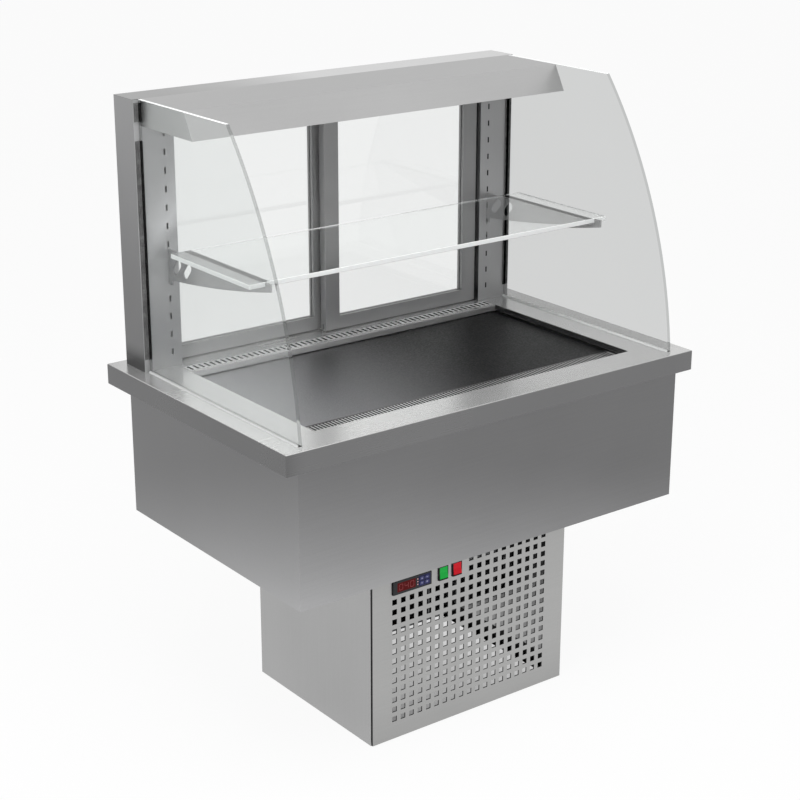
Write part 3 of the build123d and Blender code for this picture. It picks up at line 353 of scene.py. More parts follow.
def brushed_steel(name, side, top, grain, roughness, speckle, edge, metal=1.0, drifts=(), top_drifts=(),
                  flank_drifts=(), front_drifts=(), lip=None, front=1.0, cut=None, painted_shade_boxes=()):
    """Brushed sheet: streaks along the grain, a fine speckle, slow clouds in tone and gloss, rubbed folds
    made lighter as wear and as a painted highlight.

    A sheet may have a second tone for what faces up or looks forward in the box of its lip, a painted light,
    painted shine and shade as drifts of tone over its sides, its top, the flanks that look along X or the
    fronts that look along Y, another level for those fronts, a painted sheen, darker cut edges, which are the
    faces that don't look along the sheet's own axis, and darker insides, each a box and a level; the cut
    edges and insides are painted shade.
    """
    # Painted shade on cut edges, and how much lighter the folds are, as wear and as a painted highlight
    cut_edge_shade, worn_gain = 0.08, 0.25
    material, tree, shader = blank_material(name, Metallic=metal)
    streaks = noise(tree, coordinates(tree, GRAIN[grain]), scale=1.0, detail=3.0, roughness=0.6)
    grit = noise(tree, coordinates(tree), scale=420.0, roughness=0.65)
    clouds = noise(tree, coordinates(tree), scale=2.6, detail=3.0)
    rounded, wear_and_highlight = rubbed_and_highlit_edges(tree, edge)
    cloudy = spread(tree, clouds, *BAND, 0.96, 1.04)
    colour = mixed(tree, clouds, side, tinted(side, 1.04))
    # Painted shine and shade drift over the sides
    colour = scaled(tree, colour, drifted(tree, cloudy, drifts))
    # A second tone painted on what faces up and on the lips, as painted light
    if top is not None:
        upper = mixed(tree, clouds, top, tinted(top, 0.97))
        upper = scaled(tree, upper, drifted(tree, cloudy, top_drifts))
        up = spread(tree, facing(tree, Z), *UPWARD, *ALL)
        if lip is not None:
            forward = spread(tree, facing(tree, Y), *FORWARD, *ALL)
            up = math_node(tree, "MAXIMUM", up, math_node(tree, "MULTIPLY", forward, within(tree, *lip)))
        colour = mixed(tree, up, colour, upper)
    uneven = (1.0 - speckle, 1.0 + speckle)
    level = math_node(tree, "MULTIPLY", spread(tree, streaks, *WIDE_BAND, *uneven),
                      spread(tree, grit, *WIDE_BAND, *uneven))
    # Painted shine and shade on the flanks and the fronts
    for axis, changes in ((X, flank_drifts), (Y, front_drifts)):
        if changes:
            change = math_node(tree, "SUBTRACT", drifted(tree, cloudy, changes), 1.0)
            change = math_node(tree, "MULTIPLY", looking(tree, axis), change)
            level = math_node(tree, "MULTIPLY", level, math_node(tree, "ADD", change, 1.0))
    # Painted sheen: the fronts at another level
    if front != 1.0:
        level = math_node(tree, "MULTIPLY", level, looking(tree, Y, 1.0, front))
    # Cut edges get painted shade; otherwise the folds get lighter, as wear and as a painted highlight
    if cut is not None:
        level = math_node(tree, "MULTIPLY", level, looking(tree, cut, cut_edge_shade, 1.0))
    else:
        level = math_node(tree, "ADD", level, spread(tree, wear_and_highlight, *ALL, 0.0, worn_gain))
    # Painted shade in the insides and folds
    for low, high, inside in painted_shade_boxes:
        level = math_node(tree, "MULTIPLY", level, spread(tree, within(tree, low, high), *ALL, 1.0, inside))
    tree.links.new(scaled(tree, colour, level), shader.inputs["Base Color"])
    sway = 0.01 + speckle
    gloss = math_node(tree, "ADD", spread(tree, streaks, 0.2, 0.8, roughness - sway, roughness + sway),
                      spread(tree, clouds, *BAND, -0.03, 0.03))
    tree.links.new(gloss, shader.inputs["Roughness"])
    bump(tree, shader, streaks, strength=0.8 * speckle, distance=0.0004, under=rounded)
    return material


# How far glass looks along its axis from edge to face, and how far up an edge looks to be milky
GLASS_FACE = (0.80, 0.95)
GLASS_CREST = (0.75, 0.9)

# Where the painted reflection veil of a side glass fades along Y in metres, from front to rear
VEIL_FADE = (0.04, 0.13)


def clear_glass(name, tint, axis, ground, milky, veil, edge, crest, bend=1.5, polished=None, reflection_veil=None):
    """Toughened glass: clear on its two faces, ground and milky at its edges, whiter and lighter where they
    face up as painted light, a faint ripple.

    The faces look along the given axis, and whatever looks another way is an edge. Edges may be polished in
    a box, and the faces may have a white veil, a painted reflection, given for the front and for the rear.
    """
    material, tree, shader = blank_material(name, IOR=bend)
    rim = looking(tree, axis, 1.0, 0.0, turned=GLASS_FACE)
    if polished is not None:
        rim = math_node(tree, "MULTIPLY", rim, spread(tree, within(tree, *polished), *ALL, 1.0, 0.0))
    upper = spread(tree, facing(tree, Z), *GLASS_CREST, *ALL)
    smear = noise(tree, coordinates(tree), scale=3.0, detail=4.0, roughness=0.6)
    clear = mixed(tree, smear, tinted(tint, 0.985), tinted(tint, 1.015))
    # Painted light: edges that face up take the lighter crest tone
    base = mixed(tree, rim, clear, mixed(tree, upper, edge, crest))
    # Painted light: edges that face up are whiter than the others
    white = math_node(tree, "MULTIPLY", rim, spread(tree, upper, *ALL, veil, milky))
    # Painted reflection: a white veil on the faces, fading from front to rear
    if reflection_veil is not None:
        split = add_node(tree, "ShaderNodeSeparateXYZ")
        tree.links.new(coordinates(tree), split.inputs[0])
        painted_veil = math_node(tree, "MULTIPLY", spread(tree, split.outputs[Y], *VEIL_FADE, *reflection_veil),
                        math_node(tree, "SUBTRACT", 1.0, rim))
        white = math_node(tree, "ADD", white, painted_veil)
    tree.links.new(base, shader.inputs["Base Color"])
    tree.links.new(math_node(tree, "SUBTRACT", 1.0, white), shader.inputs["Transmission Weight"])
    rough = math_node(tree, "ADD", spread(tree, smear, *BAND, 0.0, 0.012),
                      spread(tree, rim, *ALL, 0.0, ground))
    tree.links.new(rough, shader.inputs["Roughness"])
    ripple = noise(tree, coordinates(tree), scale=6.0, detail=1.0)
    bump(tree, shader, ripple, strength=0.02, distance=0.0005)
    return material


def moulded_plastic(name, colour, roughness, grain=900.0, relief=0.12, coat=0.0, shine=0.5, sides=1.0,
                    field=None):
    """Moulded plastic: a fine spark-eroded texture, lighter patches and slightly polished high spots.

    A piece with a front may have darker sides, a painted shade, and a printed field in a box, given with its
    ink.
    """
    material, tree, shader = blank_material(name, Coat_Weight=coat, Coat_Roughness=0.12,
                                            Specular_IOR_Level=shine)
    texture = noise(tree, coordinates(tree), scale=grain, roughness=0.6)
    patches = noise(tree, coordinates(tree), scale=35.0, detail=3.0)
    lighter = tuple(min(1.0, channel * 1.15 + 0.004) for channel in colour)
    base = mixed(tree, patches, colour, lighter)
    if field is not None:
        low, high, ink = field
        base = mixed(tree, within(tree, low, high), base, ink)
    level = spread(tree, texture, *BAND, 0.93, 1.07)
    # Painted shade on the sides
    if sides != 1.0:
        level = math_node(tree, "MULTIPLY", level, looking(tree, Y, sides, 1.0, turned=(0.6, 0.95)))
    tree.links.new(scaled(tree, base, level), shader.inputs["Base Color"])
    sway = 0.06
    gloss = spread(tree, texture, *WIDE_BAND, roughness + sway, roughness - sway)
    tree.links.new(gloss, shader.inputs["Roughness"])
    bump(tree, shader, texture, strength=relief, distance=0.0003)
    return material


def plain_metal(name, colour, stained, roughness, scale=45.0):
    """Drawn or rolled metal: blotches of a stained tone, with a duller gloss in the blotches."""
    material, tree, shader = blank_material(name, Metallic=1.0)
    blotch = noise(tree, coordinates(tree), scale, detail=5.0, roughness=0.62)
    mask = spread(tree, blotch, 0.42, 0.68, *ALL)
    tree.links.new(mixed(tree, mask, colour, stained), shader.inputs["Base Color"])
    tree.links.new(spread(tree, mask, *ALL, roughness, roughness + 0.2), shader.inputs["Roughness"])
    bump(tree, shader, noise(tree, coordinates(tree), scale=600.0), strength=0.06, distance=0.0003)
    return material


def rigid_foam(name, colour):
    """Cut polyurethane foam: small open cells, with painted shade in their hollows."""
    material, tree, shader = blank_material(name, Roughness=0.92)
    cells = add_node(tree, "ShaderNodeTexVoronoi")
    cells.inputs["Scale"].default_value = 320.0
    tree.links.new(coordinates(tree), cells.inputs["Vector"])
    # Painted shade in the hollows of the cells
    hollow = spread(tree, cells.outputs["Distance"], 0.1, 0.7, *ALL)
    tree.links.new(mixed(tree, hollow, tinted(colour, 0.7), colour), shader.inputs["Base Color"])
    bump(tree, shader, cells.outputs["Distance"], strength=0.5, distance=0.001)
    return material


def soft_rubber(name, colour):
    """Matt rubber: pale bloom in patches and a dry speckle."""
    material, tree, shader = blank_material(name)
    bloom = noise(tree, coordinates(tree), scale=60.0, detail=4.0, roughness=0.7)
    speckle = noise(tree, coordinates(tree), scale=700.0, roughness=0.7)
    base = mixed(tree, spread(tree, bloom, 0.4, 0.75, *ALL), colour, tinted(colour, 2.2))
    tree.links.new(scaled(tree, base, spread(tree, speckle, *BAND, 0.6, 1.5)), shader.inputs["Base Color"])
    tree.links.new(spread(tree, bloom, *BAND, 0.62, 0.82), shader.inputs["Roughness"])
    bump(tree, shader, speckle, strength=0.25, distance=0.0004)
    return material


def lit_plastic(name, colour, strength):
    """A lit segment or lamp: its own colour glows a little, uneven like a diffuser."""
    material, tree, shader = blank_material(name, Emission_Strength=strength, Roughness=0.4)
    uneven = spread(tree, noise(tree, coordinates(tree), scale=900.0), *BAND, 0.8, 1.1)
    shade = add_node(tree, "ShaderNodeRGB")
    shade.outputs[0].default_value = (*colour, 1.0)
    glow = scaled(tree, shade.outputs[0], uneven)
    tree.links.new(glow, shader.inputs["Base Color"])
    tree.links.new(glow, shader.inputs["Emission Color"])
    return material


# Pieces

def dress(material, *names):
    """Gives a material to CAD nodes by name."""
    for name in names:
        slots = frame["nodes"][name].data.materials
        slots.clear()
        slots.append(material)


def piece(name, points, faces, material, body):
    """A new mesh object at the origin with its place in its points, which rides on a body."""
    mesh = bpy.data.meshes.new(name)
    mesh.from_pydata(points.tolist(), [], faces)
    mesh.validate()
    mesh.materials.append(material)
    made = bpy.data.objects.new(name, mesh)
    bpy.context.scene.collection.objects.link(made)
    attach(made, body)


def prisms(outlines, front, back):
    """Points and faces of closed prisms: outlines (count, corners, x and z) carried along Y, front to back.

    Outlines turn clockwise as seen from the front, so that the front caps look along minus Y.
    """
    count, corners, _ = outlines.shape
    points = np.empty((count, 2, corners, 3))
    points[..., 0] = outlines[:, None, :, 0]
    points[..., 1] = np.array([front, back])[None, :, None]
    points[..., 2] = outlines[:, None, :, 1]
    ring = np.arange(corners)
    step = np.roll(ring, -1)
    sides = np.stack([ring, ring + corners, step + corners, step], 1)
    start = 2 * corners * np.arange(count)[:, None]
    caps = [row.tolist() for row in start + ring[::-1]] + [row.tolist() for row in start + corners + ring]
    walls = (start[:, :, None] + sides[None]).reshape(-1, 4).tolist()
    return points.reshape(-1, 3), caps + walls


def domes(centres, radius, rise):
    """Points and faces of low domes on a front.

    Each is a stack of rings, radius cos a wide, that stand rise sin a out along minus Y, and a tip.
    """
    turns, steps = 16, 5
    angle = np.linspace(0.0, 2.0 * np.pi, turns, endpoint=False)
    climb = np.linspace(0.0, 0.5 * np.pi, steps)[:-1]
    ring = np.stack([np.cos(angle), np.zeros(turns), np.sin(angle)], 1)
    shell = (radius * np.cos(climb)[:, None, None] * ring
             - rise * np.sin(climb)[:, None, None] * np.array([0.0, 1.0, 0.0]))
    one = np.concatenate([shell.reshape(-1, 3), [[0.0, -rise, 0.0]]])
    index = np.arange(turns)
    follow = np.roll(index, -1)
    base = turns * np.arange(steps - 2)[:, None]
    walls = np.stack([base + index, base + follow, base + turns + follow, base + turns + index], -1)
    walls = walls.reshape(-1, 4)
    last = turns * (steps - 2)
    tips = np.stack([last + index, last + follow, np.full(turns, len(one) - 1)], 1)
    points = (np.asarray(centres)[:, None] + one[None]).reshape(-1, 3)
    faces = []
    for start in len(one) * np.arange(len(centres)):
        faces += (walls + start).tolist() + (tips + start).tolist() + [(index[::-1] + start).tolist()]
    return points, faces


# Lit bars of each figure: a top, b upper right, c lower right, d bottom, e lower left, f upper left, g middle
SEGMENTS = {"0": "abcdef", "1": "bc", "2": "abged", "3": "abgcd", "4": "fgbc", "5": "afgcd", "6": "afgedc",
            "7": "abc", "8": "abcdefg", "9": "abcdfg"}


def segment_bars(text, left, bottom, width, height, pitch):
    """Outlines of the lit bars of a row of figures: each a long hexagon about the middle of its side."""
    thick = 0.16 * width
    reach = 0.94
    tip, shoulder = 0.5, 0.40
    half = height / 2.0
    across = np.array([[-tip, 0.0], [-shoulder, 0.5], [shoulder, 0.5],
                       [tip, 0.0], [shoulder, -0.5], [-shoulder, -0.5]])
    flat = across * np.array([reach * width, thick])
    upright = across[:, ::-1] * np.array([-thick, reach * half])
    places = {"a": (0.5 * width, height), "g": (0.5 * width, half), "d": (0.5 * width, 0.0),
              "b": (width, 1.5 * half), "c": (width, 0.5 * half),
              "f": (0.0, 1.5 * half), "e": (0.0, 0.5 * half)}
    outlines = []
    for number, figure in enumerate(text):
        for bar in SEGMENTS[figure]:
            shape = flat if bar in "adg" else upright
            outlines.append(shape + np.array(places[bar]) + np.array([left + number * pitch, bottom]))
    return np.array(outlines)


# Operators

# Directions in which a painted light or shade drifts
RIGHT = (1.0, 0.0, 0.0)
LEFT = (-1.0, 0.0, 0.0)
UP = (0.0, 0.0, 1.0)
LEFT_UP = (-1.0, 0.0, 1.0)

# Painted light and shade on the sheets, as drifts of tone: direction, start and end along it in metres, and
# gain at the start. A SHINE is a painted sheen or reflection, a SHADE a painted shade
APRON_END_SHADE = (RIGHT, -0.551, -0.50, -0.24)
WORKTOP_SHINE = ((1.0, -0.3, 0.0), -0.48, 0.60, 0.40)
WORKTOP_CORNER_SHADE = ((-0.8, 0.6, 0.0), 0.66, 0.47, -0.50)
FRONT_GRILLE_SHINE = (RIGHT, -0.45, 0.45, 0.6)
REAR_GRILLE_SHINE = (RIGHT, -0.45, 0.30, 0.25)
TUB_CORNER_SHINE = ((0.255, 0.346, 1.0), 0.18, 0.53, 1.4)
PANEL_HEAD_SHADE = (UP, 0.43, 0.33, -0.16)
PANEL_FOOT_SHADE = (UP, 0.0, 0.12, -0.10)
POST_FLANK_SHINE = (UP, 1.36, 0.80, 0.83)
POST_FOOT_SHADE = (UP, 0.800, 0.835, -0.7)
# Painted reflection: bands of shine and shade on the posts' fronts, and a darker right post
POST_FRONT_DRIFTS = ((LEFT_UP, 1.545, 1.68, 0.54), (LEFT_UP, 1.50, 1.545, -0.266),
                     (LEFT_UP, 1.30, 1.50, -0.115), (LEFT, -0.42, 0.0, -0.15))
HEADER_SHINE = (LEFT, -0.45, 0.45, 0.9)
HEADER_TOP_SHINE = (LEFT, 0.05, 0.45, 1.1)
DOOR_SHINE = (RIGHT, -0.45, 0.10, 0.55)
DECK_SHINE = (RIGHT, -0.43, 0.13, 15.0)

# Box in metres of the well's lips, which look forward and are painted as bright as the top: least and
# greatest corner
WELL_LIPS = ((0.0, -0.32, 0.70), (0.50, 0.32, 0.7748))

# Boxes in metres of painted shade on folds and insides: least corner, greatest corner and level
WELL_SIDES = ((0.4275, -0.272, 0.70), (0.4310, 0.194, 0.7747), 0.45)
GRILLE_FOLDS = (((-0.1, -0.268, 0.70), (0.45, -0.260, 0.78), 0.15),
                ((-0.1, -0.210, 0.70), (0.45, -0.202, 0.78), 0.15))
BOX_INSIDE = ((-0.1, -0.2495, -0.1), (0.2709, 0.1877, 0.038), 0.02)
POST_INSIDE = ((0.4200, 0.2476, 0.70), (0.5130, 0.3268, 1.40), 0.0)

# Places and sizes of the soft lamps in metres, and the width of the camera's sensor in millimetres
KEY_LAMP = ((-0.6, -0.9, 3.4), 2.4)
FILL_LAMP = ((-3.2, -1.6, 2.2), 2.0)
SENSOR_WIDTH = 36.0


class OperatorBase:
    """What the operators share."""

    bl_options = {"REGISTER"}


class DISPLAYCASE_OT_steel(OperatorBase, bpy.types.Operator):
    """Gives each steel sheet its brushed finish"""

    bl_idname = "display_case.steel"
    bl_label = "Steel Sheets"

    def execute(self, context):
        tones = context.scene.display_case_steel
        rough = tones.roughness
        edge = tones.edge
        dress(brushed_steel("worktop_steel", tones.worktop_side, tones.worktop_top, "x", rough - 0.08,
                            speckle=0.007, edge=edge, metal=0.7, drifts=[APRON_END_SHADE],
                            top_drifts=[WORKTOP_SHINE, WORKTOP_CORNER_SHADE], lip=WELL_LIPS,
                            painted_shade_boxes=[WELL_SIDES]), "worktop")
        dress(brushed_steel("front_grille_steel", tones.worktop_side, tones.front_grille, "x", rough - 0.04,
                            speckle=0.007, edge=0.0005, metal=0.5, top_drifts=[FRONT_GRILLE_SHINE], cut=Z,
                            painted_shade_boxes=GRILLE_FOLDS), "front_air_grille")
        dress(brushed_steel("rear_grille_steel", tones.worktop_side, tones.rear_grille, "x", rough - 0.04,
                            speckle=0.007, edge=0.0005, metal=0.2, top_drifts=[REAR_GRILLE_SHINE], cut=Z),
              "rear_air_grille")
        dress(brushed_steel("tub_steel", tones.tub, None, "x", rough, speckle=0.03, edge=0.0005,
                            drifts=[TUB_CORNER_SHINE]),
              "casing_front", "casing_rear", "casing_left", "casing_right")
        dress(brushed_steel("box_front_steel", tones.box_front, None, "x", rough, speckle=0.03, edge=0.0006,
                            drifts=[PANEL_HEAD_SHADE, PANEL_FOOT_SHADE], cut=Y), "perforated_front_panel")
        dress(brushed_steel("box_side_steel", tones.box_side, None, "z", rough, speckle=0.03, edge=edge,
                            painted_shade_boxes=[BOX_INSIDE]), "box_left_panel", "box_right_panel", "box_rear_panel")
        dress(brushed_steel("canopy_steel", tones.canopy, tones.canopy_top, "x", rough + 0.06, speckle=0.02,
                            edge=edge), "canopy")
        dress(brushed_steel("post_steel", tones.post, None, "z", rough, speckle=0.015, edge=edge, metal=0.5,
                            flank_drifts=[POST_FLANK_SHINE, POST_FOOT_SHADE], front_drifts=POST_FRONT_DRIFTS,
                            front=3.0, painted_shade_boxes=[POST_INSIDE]), "post_left", "post_right")
        dress(brushed_steel("header_steel", tones.header, tones.header_top, "x", rough, speckle=0.02,
                            edge=edge, metal=0.85, drifts=[HEADER_SHINE], top_drifts=[HEADER_TOP_SHINE]),
              "header")
        dress(brushed_steel("bracket_steel", tones.bracket, None, "satin", rough, speckle=0.02, edge=0.0008,
                            metal=0.6), "shelf_bracket_left", "shelf_bracket_right")
        dress(brushed_steel("door_steel", tones.door, None, "satin", rough, speckle=0.02, edge=edge,
                            metal=0.3, drifts=[DOOR_SHINE]), "door_left_frame", "door_right_frame")
        dress(brushed_steel("deck_steel", tones.deck, None, "satin", rough + 0.16, speckle=0.16, edge=0.0016,
                            drifts=[DECK_SHINE]), "deck_plate")
        dress(brushed_steel("inner_steel", tones.inner, None, "x", rough + 0.1, speckle=0.06, edge=edge,
                            metal=0.9),
              "liner", "casing_base", "control_bracket", "unit_tray", "evaporator_fan_plate", "fan_shroud")
        return {"FINISHED"}


class DISPLAYCASE_OT_glass(OperatorBase, bpy.types.Operator):
    """Gives the side glass, the shelf and the door panes their glass"""

    bl_idname = "display_case.glass"
    bl_label = "Glass"

    def execute(self, context):
        tints = context.scene.display_case_glass
        edge = (tints.ground, tints.milky, tints.veil, tints.edge, tints.crest)
        side_edge = (tints.cut, *edge[1:], tints.bend)
        dress(clear_glass("left_glass", tints.left, X, *side_edge, reflection_veil=(tints.reflection_veil, tints.rear_reflection_veil)),
              "side_glass_left")
        dress(clear_glass("right_glass", tints.right, X, *side_edge), "side_glass_right")
        skin = 0.0005
        rear = ((-1.0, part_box("shelf_glass")[1].y - skin, 0.0), (1.0, 1.0, 2.0))
        dress(clear_glass("shelf_glass", tints.shelf, Z, tints.ground, tints.milky, tints.milky, tints.crest,
                          tints.crest, polished=rear), "shelf_glass")
        dress(clear_glass("pane_glass", tints.pane, Y, *edge), "door_left_pane", "door_right_pane")
        self.add_beads(tints)
        return {"FINISHED"}

    def add_beads(self, tints):
        """A sealing bead at the left of each side glass's foot: a hollow quarter round, carried along Y."""
        low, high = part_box("side_glass_right")
        steps = 7
        setback = 0.001
        turn = np.linspace(0.0, 0.5 * np.pi, steps)
        hollow = tints.bead * np.stack([np.cos(turn) - 1.0, 1.0 - np.sin(turn)], 1)
        corner = np.concatenate([hollow[::-1], [[0.0, 0.0]]])
        feet = np.array([[low.x, low.z], [-high.x, low.z]])
        points, faces = prisms(feet[:, None] + corner[None], low.y + setback, high.y)
        bead = moulded_plastic("sealing_bead", tints.bead_tone, roughness=0.4, grain=500.0, relief=0.05,
                               shine=0.3)
        piece("glass_foot_beads", points, faces, bead, "cabinet")


class DISPLAYCASE_OT_fittings(OperatorBase, bpy.types.Operator):
    """Finishes the seals, runners, track and lamp cover"""

    bl_idname = "display_case.fittings"
    bl_label = "Seals, Track and Lamp"

    def execute(self, context):
        dress(soft_rubber("seal_rubber", (0.10, 0.10, 0.10)), "glass_seals")
        self.add_seal_flaps(soft_rubber("flap_rubber", (0.085, 0.085, 0.085)))
        dress(soft_rubber("bumper_rubber", (0.012, 0.012, 0.012)), "door_right_bumper", "compressor_mounts")
        dress(plain_metal("anodised_track", (0.55, 0.56, 0.57), (0.46, 0.47, 0.48), roughness=0.34),
              "top_track")
        dress(moulded_plastic("white_nylon", (0.74, 0.74, 0.70), roughness=0.42),
              "door_guide", "door_left_runners", "door_right_runners", "drain_pipe")
        dress(moulded_plastic("opal_cover", (0.88, 0.88, 0.85), roughness=0.30, relief=0.03, coat=0.3),
              "lamp_bar")
        return {"FINISHED"}

    def add_seal_flaps(self, rubber):
        """Flat flaps of the glass seals on the posts' fronts: rectangles carried back along Y to the post.

        Each post has a long one and a short one, with a gap between them.
        """
        inset = 0.0015
        proud = 0.0008
        gap_foot, gap_head = 0.08, 0.04
        low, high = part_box("glass_seals")
        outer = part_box("post_right")[1].x - inset
        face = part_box("post_right")[0].y
        outlines = []
        for bottom, top in ((low.z, high.z - gap_foot), (high.z - gap_head, high.z)):
            for left, right in ((high.x, outer), (-outer, -high.x)):
                outlines.append([(left, bottom), (left, top), (right, top), (right, bottom)])
        points, faces = prisms(np.array(outlines), face - proud, face)
        piece("seal_flaps", points, faces, rubber, "cabinet")


class DISPLAYCASE_OT_machinery(OperatorBase, bpy.types.Operator):
    """Finishes the condensing unit, the evaporator, the fans and the foam"""

    bl_idname = "display_case.machinery"
    bl_label = "Cooling Unit"

    def execute(self, context):
        dress(plain_metal("coil_fins", (0.62, 0.63, 0.64), (0.48, 0.49, 0.50), roughness=0.38, scale=90.0),
              "condenser_coil", "evaporator_coil")
        dress(plain_metal("drawn_copper", (0.72, 0.36, 0.20), (0.40, 0.19, 0.11), roughness=0.28),
              "refrigerant_pipes")
        dress(moulded_plastic("black_enamel", (0.012, 0.012, 0.013), roughness=0.36, grain=300.0, relief=0.2,
                              coat=0.4), "compressor", "condenser_fan_motor", "evaporator_fan_motors")
        dress(moulded_plastic("black_plastic", (0.016, 0.016, 0.017), roughness=0.48),
              "condenser_fan_blade", "evaporator_fan_left", "evaporator_fan_right", "cable_gland")
        dress(rigid_foam("yellow_foam", (0.72, 0.62, 0.36)), "insulation")
        return {"FINISHED"}


class DISPLAYCASE_OT_controls(OperatorBase, bpy.types.Operator):
    """Finishes the controller and the rocker switches, and adds figures, indicator lamps and key marks"""

    bl_idname = "display_case.controls"
    bl_label = "Controls"

    def execute(self, context):
        looks = context.scene.display_case_controls
        keys = ("key_upper_left", "key_upper_right", "key_lower_left", "key_lower_right")
        corners = np.array([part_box(name) for name in keys])
        low, high = corners[:, 0].min(0), corners[:, 1].max(0)
        margin, right_margin = 0.003, 0.004
        field = ((-high[0] - right_margin, low[1], low[2] - margin),
                 (-low[0] + margin, high[1], high[2] + margin), looks.field)
        # The controller's sides carry painted shade
        dress(moulded_plastic("controller_plastic", (0.024, 0.025, 0.027), roughness=0.46, shine=0.2,
                              sides=0.2, field=field), "controller")
        dress(moulded_plastic("display_window", looks.window, roughness=0.40, relief=0.02, shine=0.06),
              "controller_window")
        dress(moulded_plastic("switch_frame", (0.012, 0.012, 0.013), roughness=0.45, shine=0.2),
              "switch_housings")
        for name, colour in (("green_rocker", looks.green), ("red_rocker", looks.red)):
            dress(moulded_plastic(name + "_plastic", colour, roughness=0.45, relief=0.03, shine=0.12), name)
        dress(moulded_plastic("key_plastic", looks.key, roughness=0.34, relief=0.05), *keys)
        self.add_figures(looks)
        self.add_indicators(looks)
        self.add_key_marks(looks)
        return {"FINISHED"}

    def add_figures(self, looks):
        """Seven-bar figures that stand a little proud of the display window."""
        low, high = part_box("controller_window")
        proud = 0.0002
        fill = 0.62
        spare = 0.3
        tall = fill * (high.z - low.z)
        pitch = (high.x - low.x) / (len(looks.reading) + spare)
        wide = fill * pitch
        left = low.x + 0.5 * (high.x - low.x - (len(looks.reading) - 1) * pitch - wide)
        bottom = low.z + 0.5 * (high.z - low.z - tall)
        bars = segment_bars(looks.reading, left, bottom, wide, tall, pitch)
        points, faces = prisms(bars, low.y - proud, low.y)
        lit = lit_plastic("lit_segments", looks.digit, strength=0.15)
        piece("display_figures", points, faces, lit, "cabinet")

    def add_indicators(self, looks):
        """Three small lamps in a column between the window and the keys."""
        radius, rise = 0.0014, 0.0006
        window_low, window_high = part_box("controller_window")
        key_low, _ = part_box("key_upper_left")
        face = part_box("controller")[0].y
        middle = 0.5 * (window_high.x + key_low.x)
        spacing = 0.3 * (window_high.z - window_low.z)
        centre = 0.5 * (window_high.z + window_low.z)
        centres = [(middle, face, centre + step * spacing) for step in (-1, 0, 1)]
        points, faces = domes(centres, radius, rise)
        lens = lit_plastic("indicator_lens", looks.indicator, strength=0.3)
        piece("indicator_lamps", points, faces, lens, "cabinet")

    def add_key_marks(self, looks):
        """Thin printed marks on the keys: arrows up and down, a bar and a square."""
        ink = moulded_plastic("key_ink", looks.mark, roughness=0.5)
        size = 0.0019
        proud = 0.0001
        marks = {
            "key_upper_left": [(-1.0, -0.8), (0.0, 1.0), (1.0, -0.8)],
            "key_lower_left": [(-1.0, 0.8), (1.0, 0.8), (0.0, -1.0)],
            "key_upper_right": [(-1.1, -0.35), (-1.1, 0.35), (1.1, 0.35), (1.1, -0.35)],
            "key_lower_right": [(-0.8, -0.8), (-0.8, 0.8), (0.8, 0.8), (0.8, -0.8)],
        }
        bodies = frame["record"]["behaviour"]["bodies"]
        for name, outline in marks.items():
            low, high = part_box(name)
            middle = np.array([0.5 * (low.x + high.x), 0.5 * (low.z + high.z)])
            points, faces = prisms(size * np.array([outline]) + middle, low.y - proud, low.y)
            body = next(body for body, nodes in bodies.items() if name in nodes)
            piece(name.replace("key", "mark"), points, faces, ink, body)


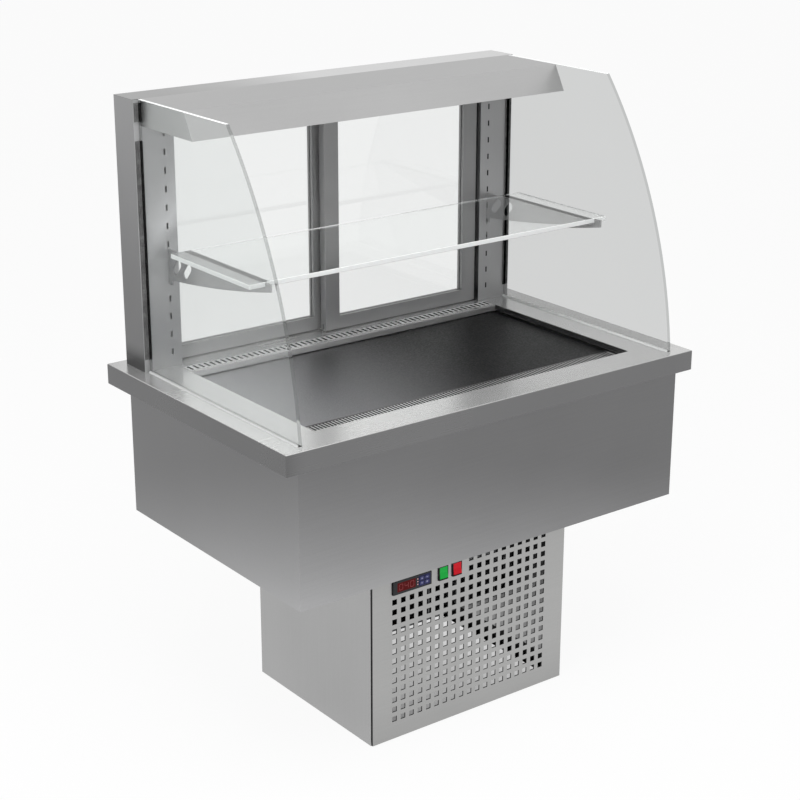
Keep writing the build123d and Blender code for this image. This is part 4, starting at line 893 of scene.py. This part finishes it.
class DISPLAYCASE_OT_stage(OperatorBase, bpy.types.Operator):
    """Sets the white studio, its lamps, the floor and the camera"""

    bl_idname = "display_case.stage"
    bl_label = "Studio"

    def execute(self, context):
        studio = context.scene.display_case_stage
        context.scene.view_settings.view_transform = "Standard"
        self.set_surroundings(context.scene, studio)
        self.add_floor(context.scene, studio)
        self.add_lamp(context.scene, "key_lamp", *KEY_LAMP, studio.key_power)
        self.add_lamp(context.scene, "fill_lamp", *FILL_LAMP, studio.fill_power)
        self.add_camera(context.scene, studio)
        return {"FINISHED"}

    def background_ray(self, tree):
        """One for a ray that shows the background: seen straight, in metal or through glass."""
        path = add_node(tree, "ShaderNodeLightPath")
        seen = math_node(tree, "MAXIMUM", path.outputs["Is Camera Ray"], path.outputs["Is Glossy Ray"])
        return math_node(tree, "MAXIMUM", seen, path.outputs["Is Transmission Ray"])

    def set_surroundings(self, scene, studio):
        """White world, full strength where it is seen and weaker where it lights matt surfaces."""
        world = bpy.data.worlds.new("studio_white")
        world.use_nodes = True
        tree = world.node_tree
        background = tree.nodes["Background"]
        background.inputs["Color"].default_value = (1.0, 1.0, 1.0, 1.0)
        tree.links.new(spread(tree, self.background_ray(tree), *ALL, studio.ambient, 1.0),
                       background.inputs["Strength"])
        scene.world = world

    def add_floor(self, scene, studio):
        """A wide flat disc: one ring of points r cos a, r sin a, just under the base rim."""
        turns = 64
        reach = 14.0
        drop = 0.0005
        angle = np.linspace(0.0, 2.0 * np.pi, turns, endpoint=False)
        points = np.stack([reach * np.cos(angle), reach * np.sin(angle), np.full(turns, -drop)], 1)
        mesh = bpy.data.meshes.new("floor")
        mesh.from_pydata(points.tolist(), [], [list(range(turns))])
        floor = bpy.data.objects.new("floor", mesh)
        scene.collection.objects.link(floor)
        material = bpy.data.materials.new("pale_floor")
        material.use_nodes = True
        tree = material.node_tree
        tree.nodes.remove(tree.nodes["Principled BSDF"])
        matt = add_node(tree, "ShaderNodeBsdfDiffuse")
        matt.inputs["Color"].default_value = (*studio.floor, 1.0)
        white = add_node(tree, "ShaderNodeEmission")
        choose = add_node(tree, "ShaderNodeMixShader")
        seen = spread(tree, self.background_ray(tree), *ALL, 0.0, 1.0 - studio.floor_shadow)
        seen = math_node(tree, "MULTIPLY", seen, self.open_floor(tree, studio))
        tree.links.new(seen, choose.inputs[0])
        tree.links.new(matt.outputs[0], choose.inputs[1])
        tree.links.new(white.outputs[0], choose.inputs[2])
        tree.links.new(choose.outputs[0], tree.nodes["Material Output"].inputs["Surface"])
        mesh.materials.append(material)

    def open_floor(self, tree, studio):
        """How far the floor is white: all of it outside the lower box, less inside towards its front left,
        where a painted shadow lets the floor's own shade show.
        """
        slant = (0.924, 0.674, 0.0)
        rear_right, front_left = 0.536, -0.43
        low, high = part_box("box_right_panel")
        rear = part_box("box_rear_panel")[1].y
        away = add_node(tree, "ShaderNodeVectorMath", operation="DOT_PRODUCT")
        tree.links.new(coordinates(tree), away.inputs[0])
        away.inputs[1].default_value = slant
        # Painted shadow: deeper towards the front left inside the box
        depth = spread(tree, away.outputs["Value"], rear_right, front_left, *ALL)
        inside = within(tree, (-1.0, low.y, -1.0), (high.x, rear, 1.0))
        return spread(tree, math_node(tree, "MULTIPLY", depth, inside), *ALL, 1.0, 1.0 - studio.inside_shadow)

    def add_lamp(self, scene, name, place, size, power):
        """A square soft lamp that looks at the middle of the case."""
        data = bpy.data.lights.new(name, "AREA")
        data.size = size
        data.energy = power
        lamp = bpy.data.objects.new(name, data)
        lamp.visible_glossy = False
        scene.collection.objects.link(lamp)
        middle = (CAD_BOX[0] + CAD_BOX[1]) / 2.0
        lamp.location = place
        lamp.rotation_euler = (middle - lamp.location).to_track_quat("-Z", "Y").to_euler()

    def add_camera(self, scene, studio):
        """The camera at the photograph's viewing angle."""
        data = bpy.data.cameras.new("camera")
        data.lens = studio.lens
        data.sensor_width = SENSOR_WIDTH
        camera = bpy.data.objects.new("camera", data)
        scene.collection.objects.link(camera)
        camera.location = studio.camera_place
        camera.rotation_euler = studio.camera_turn
        scene.camera = camera


# Panel and registering

class DISPLAYCASE_PT_finishes(bpy.types.Panel):
    """Buttons and settings of the display case"""

    bl_label = "Display Case"
    bl_space_type = "VIEW_3D"
    bl_region_type = "UI"
    bl_category = "Display Case"

    def draw(self, context):
        for operator in OPERATORS:
            self.layout.operator(operator.bl_idname)
        for name, group in SETTINGS.items():
            settings = getattr(context.scene, name)
            box = self.layout.box()
            for setting in group.__annotations__:
                box.prop(settings, setting)


SETTINGS = {
    "display_case_steel": SteelSettings,
    "display_case_glass": GlassSettings,
    "display_case_controls": ControlSettings,
    "display_case_stage": StageSettings,
}
OPERATORS = (DISPLAYCASE_OT_steel, DISPLAYCASE_OT_glass, DISPLAYCASE_OT_fittings, DISPLAYCASE_OT_machinery,
             DISPLAYCASE_OT_controls, DISPLAYCASE_OT_stage)
CLASSES = (*SETTINGS.values(), *OPERATORS, DISPLAYCASE_PT_finishes)


def register():
    """Registers the classes and hangs the settings on the scene."""
    for cls in CLASSES:
        bpy.utils.register_class(cls)
    for name, group in SETTINGS.items():
        setattr(bpy.types.Scene, name, PointerProperty(type=group))


def unregister():
    """Takes the settings and the classes away again."""
    for name in SETTINGS:
        delattr(bpy.types.Scene, name)
    for cls in reversed(CLASSES):
        bpy.utils.unregister_class(cls)


def main():
    """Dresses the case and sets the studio."""
    register()
    bpy.ops.display_case.steel()
    bpy.ops.display_case.glass()
    bpy.ops.display_case.fittings()
    bpy.ops.display_case.machinery()
    bpy.ops.display_case.controls()
    bpy.ops.display_case.stage()


if __name__ == "__main__":
    main()
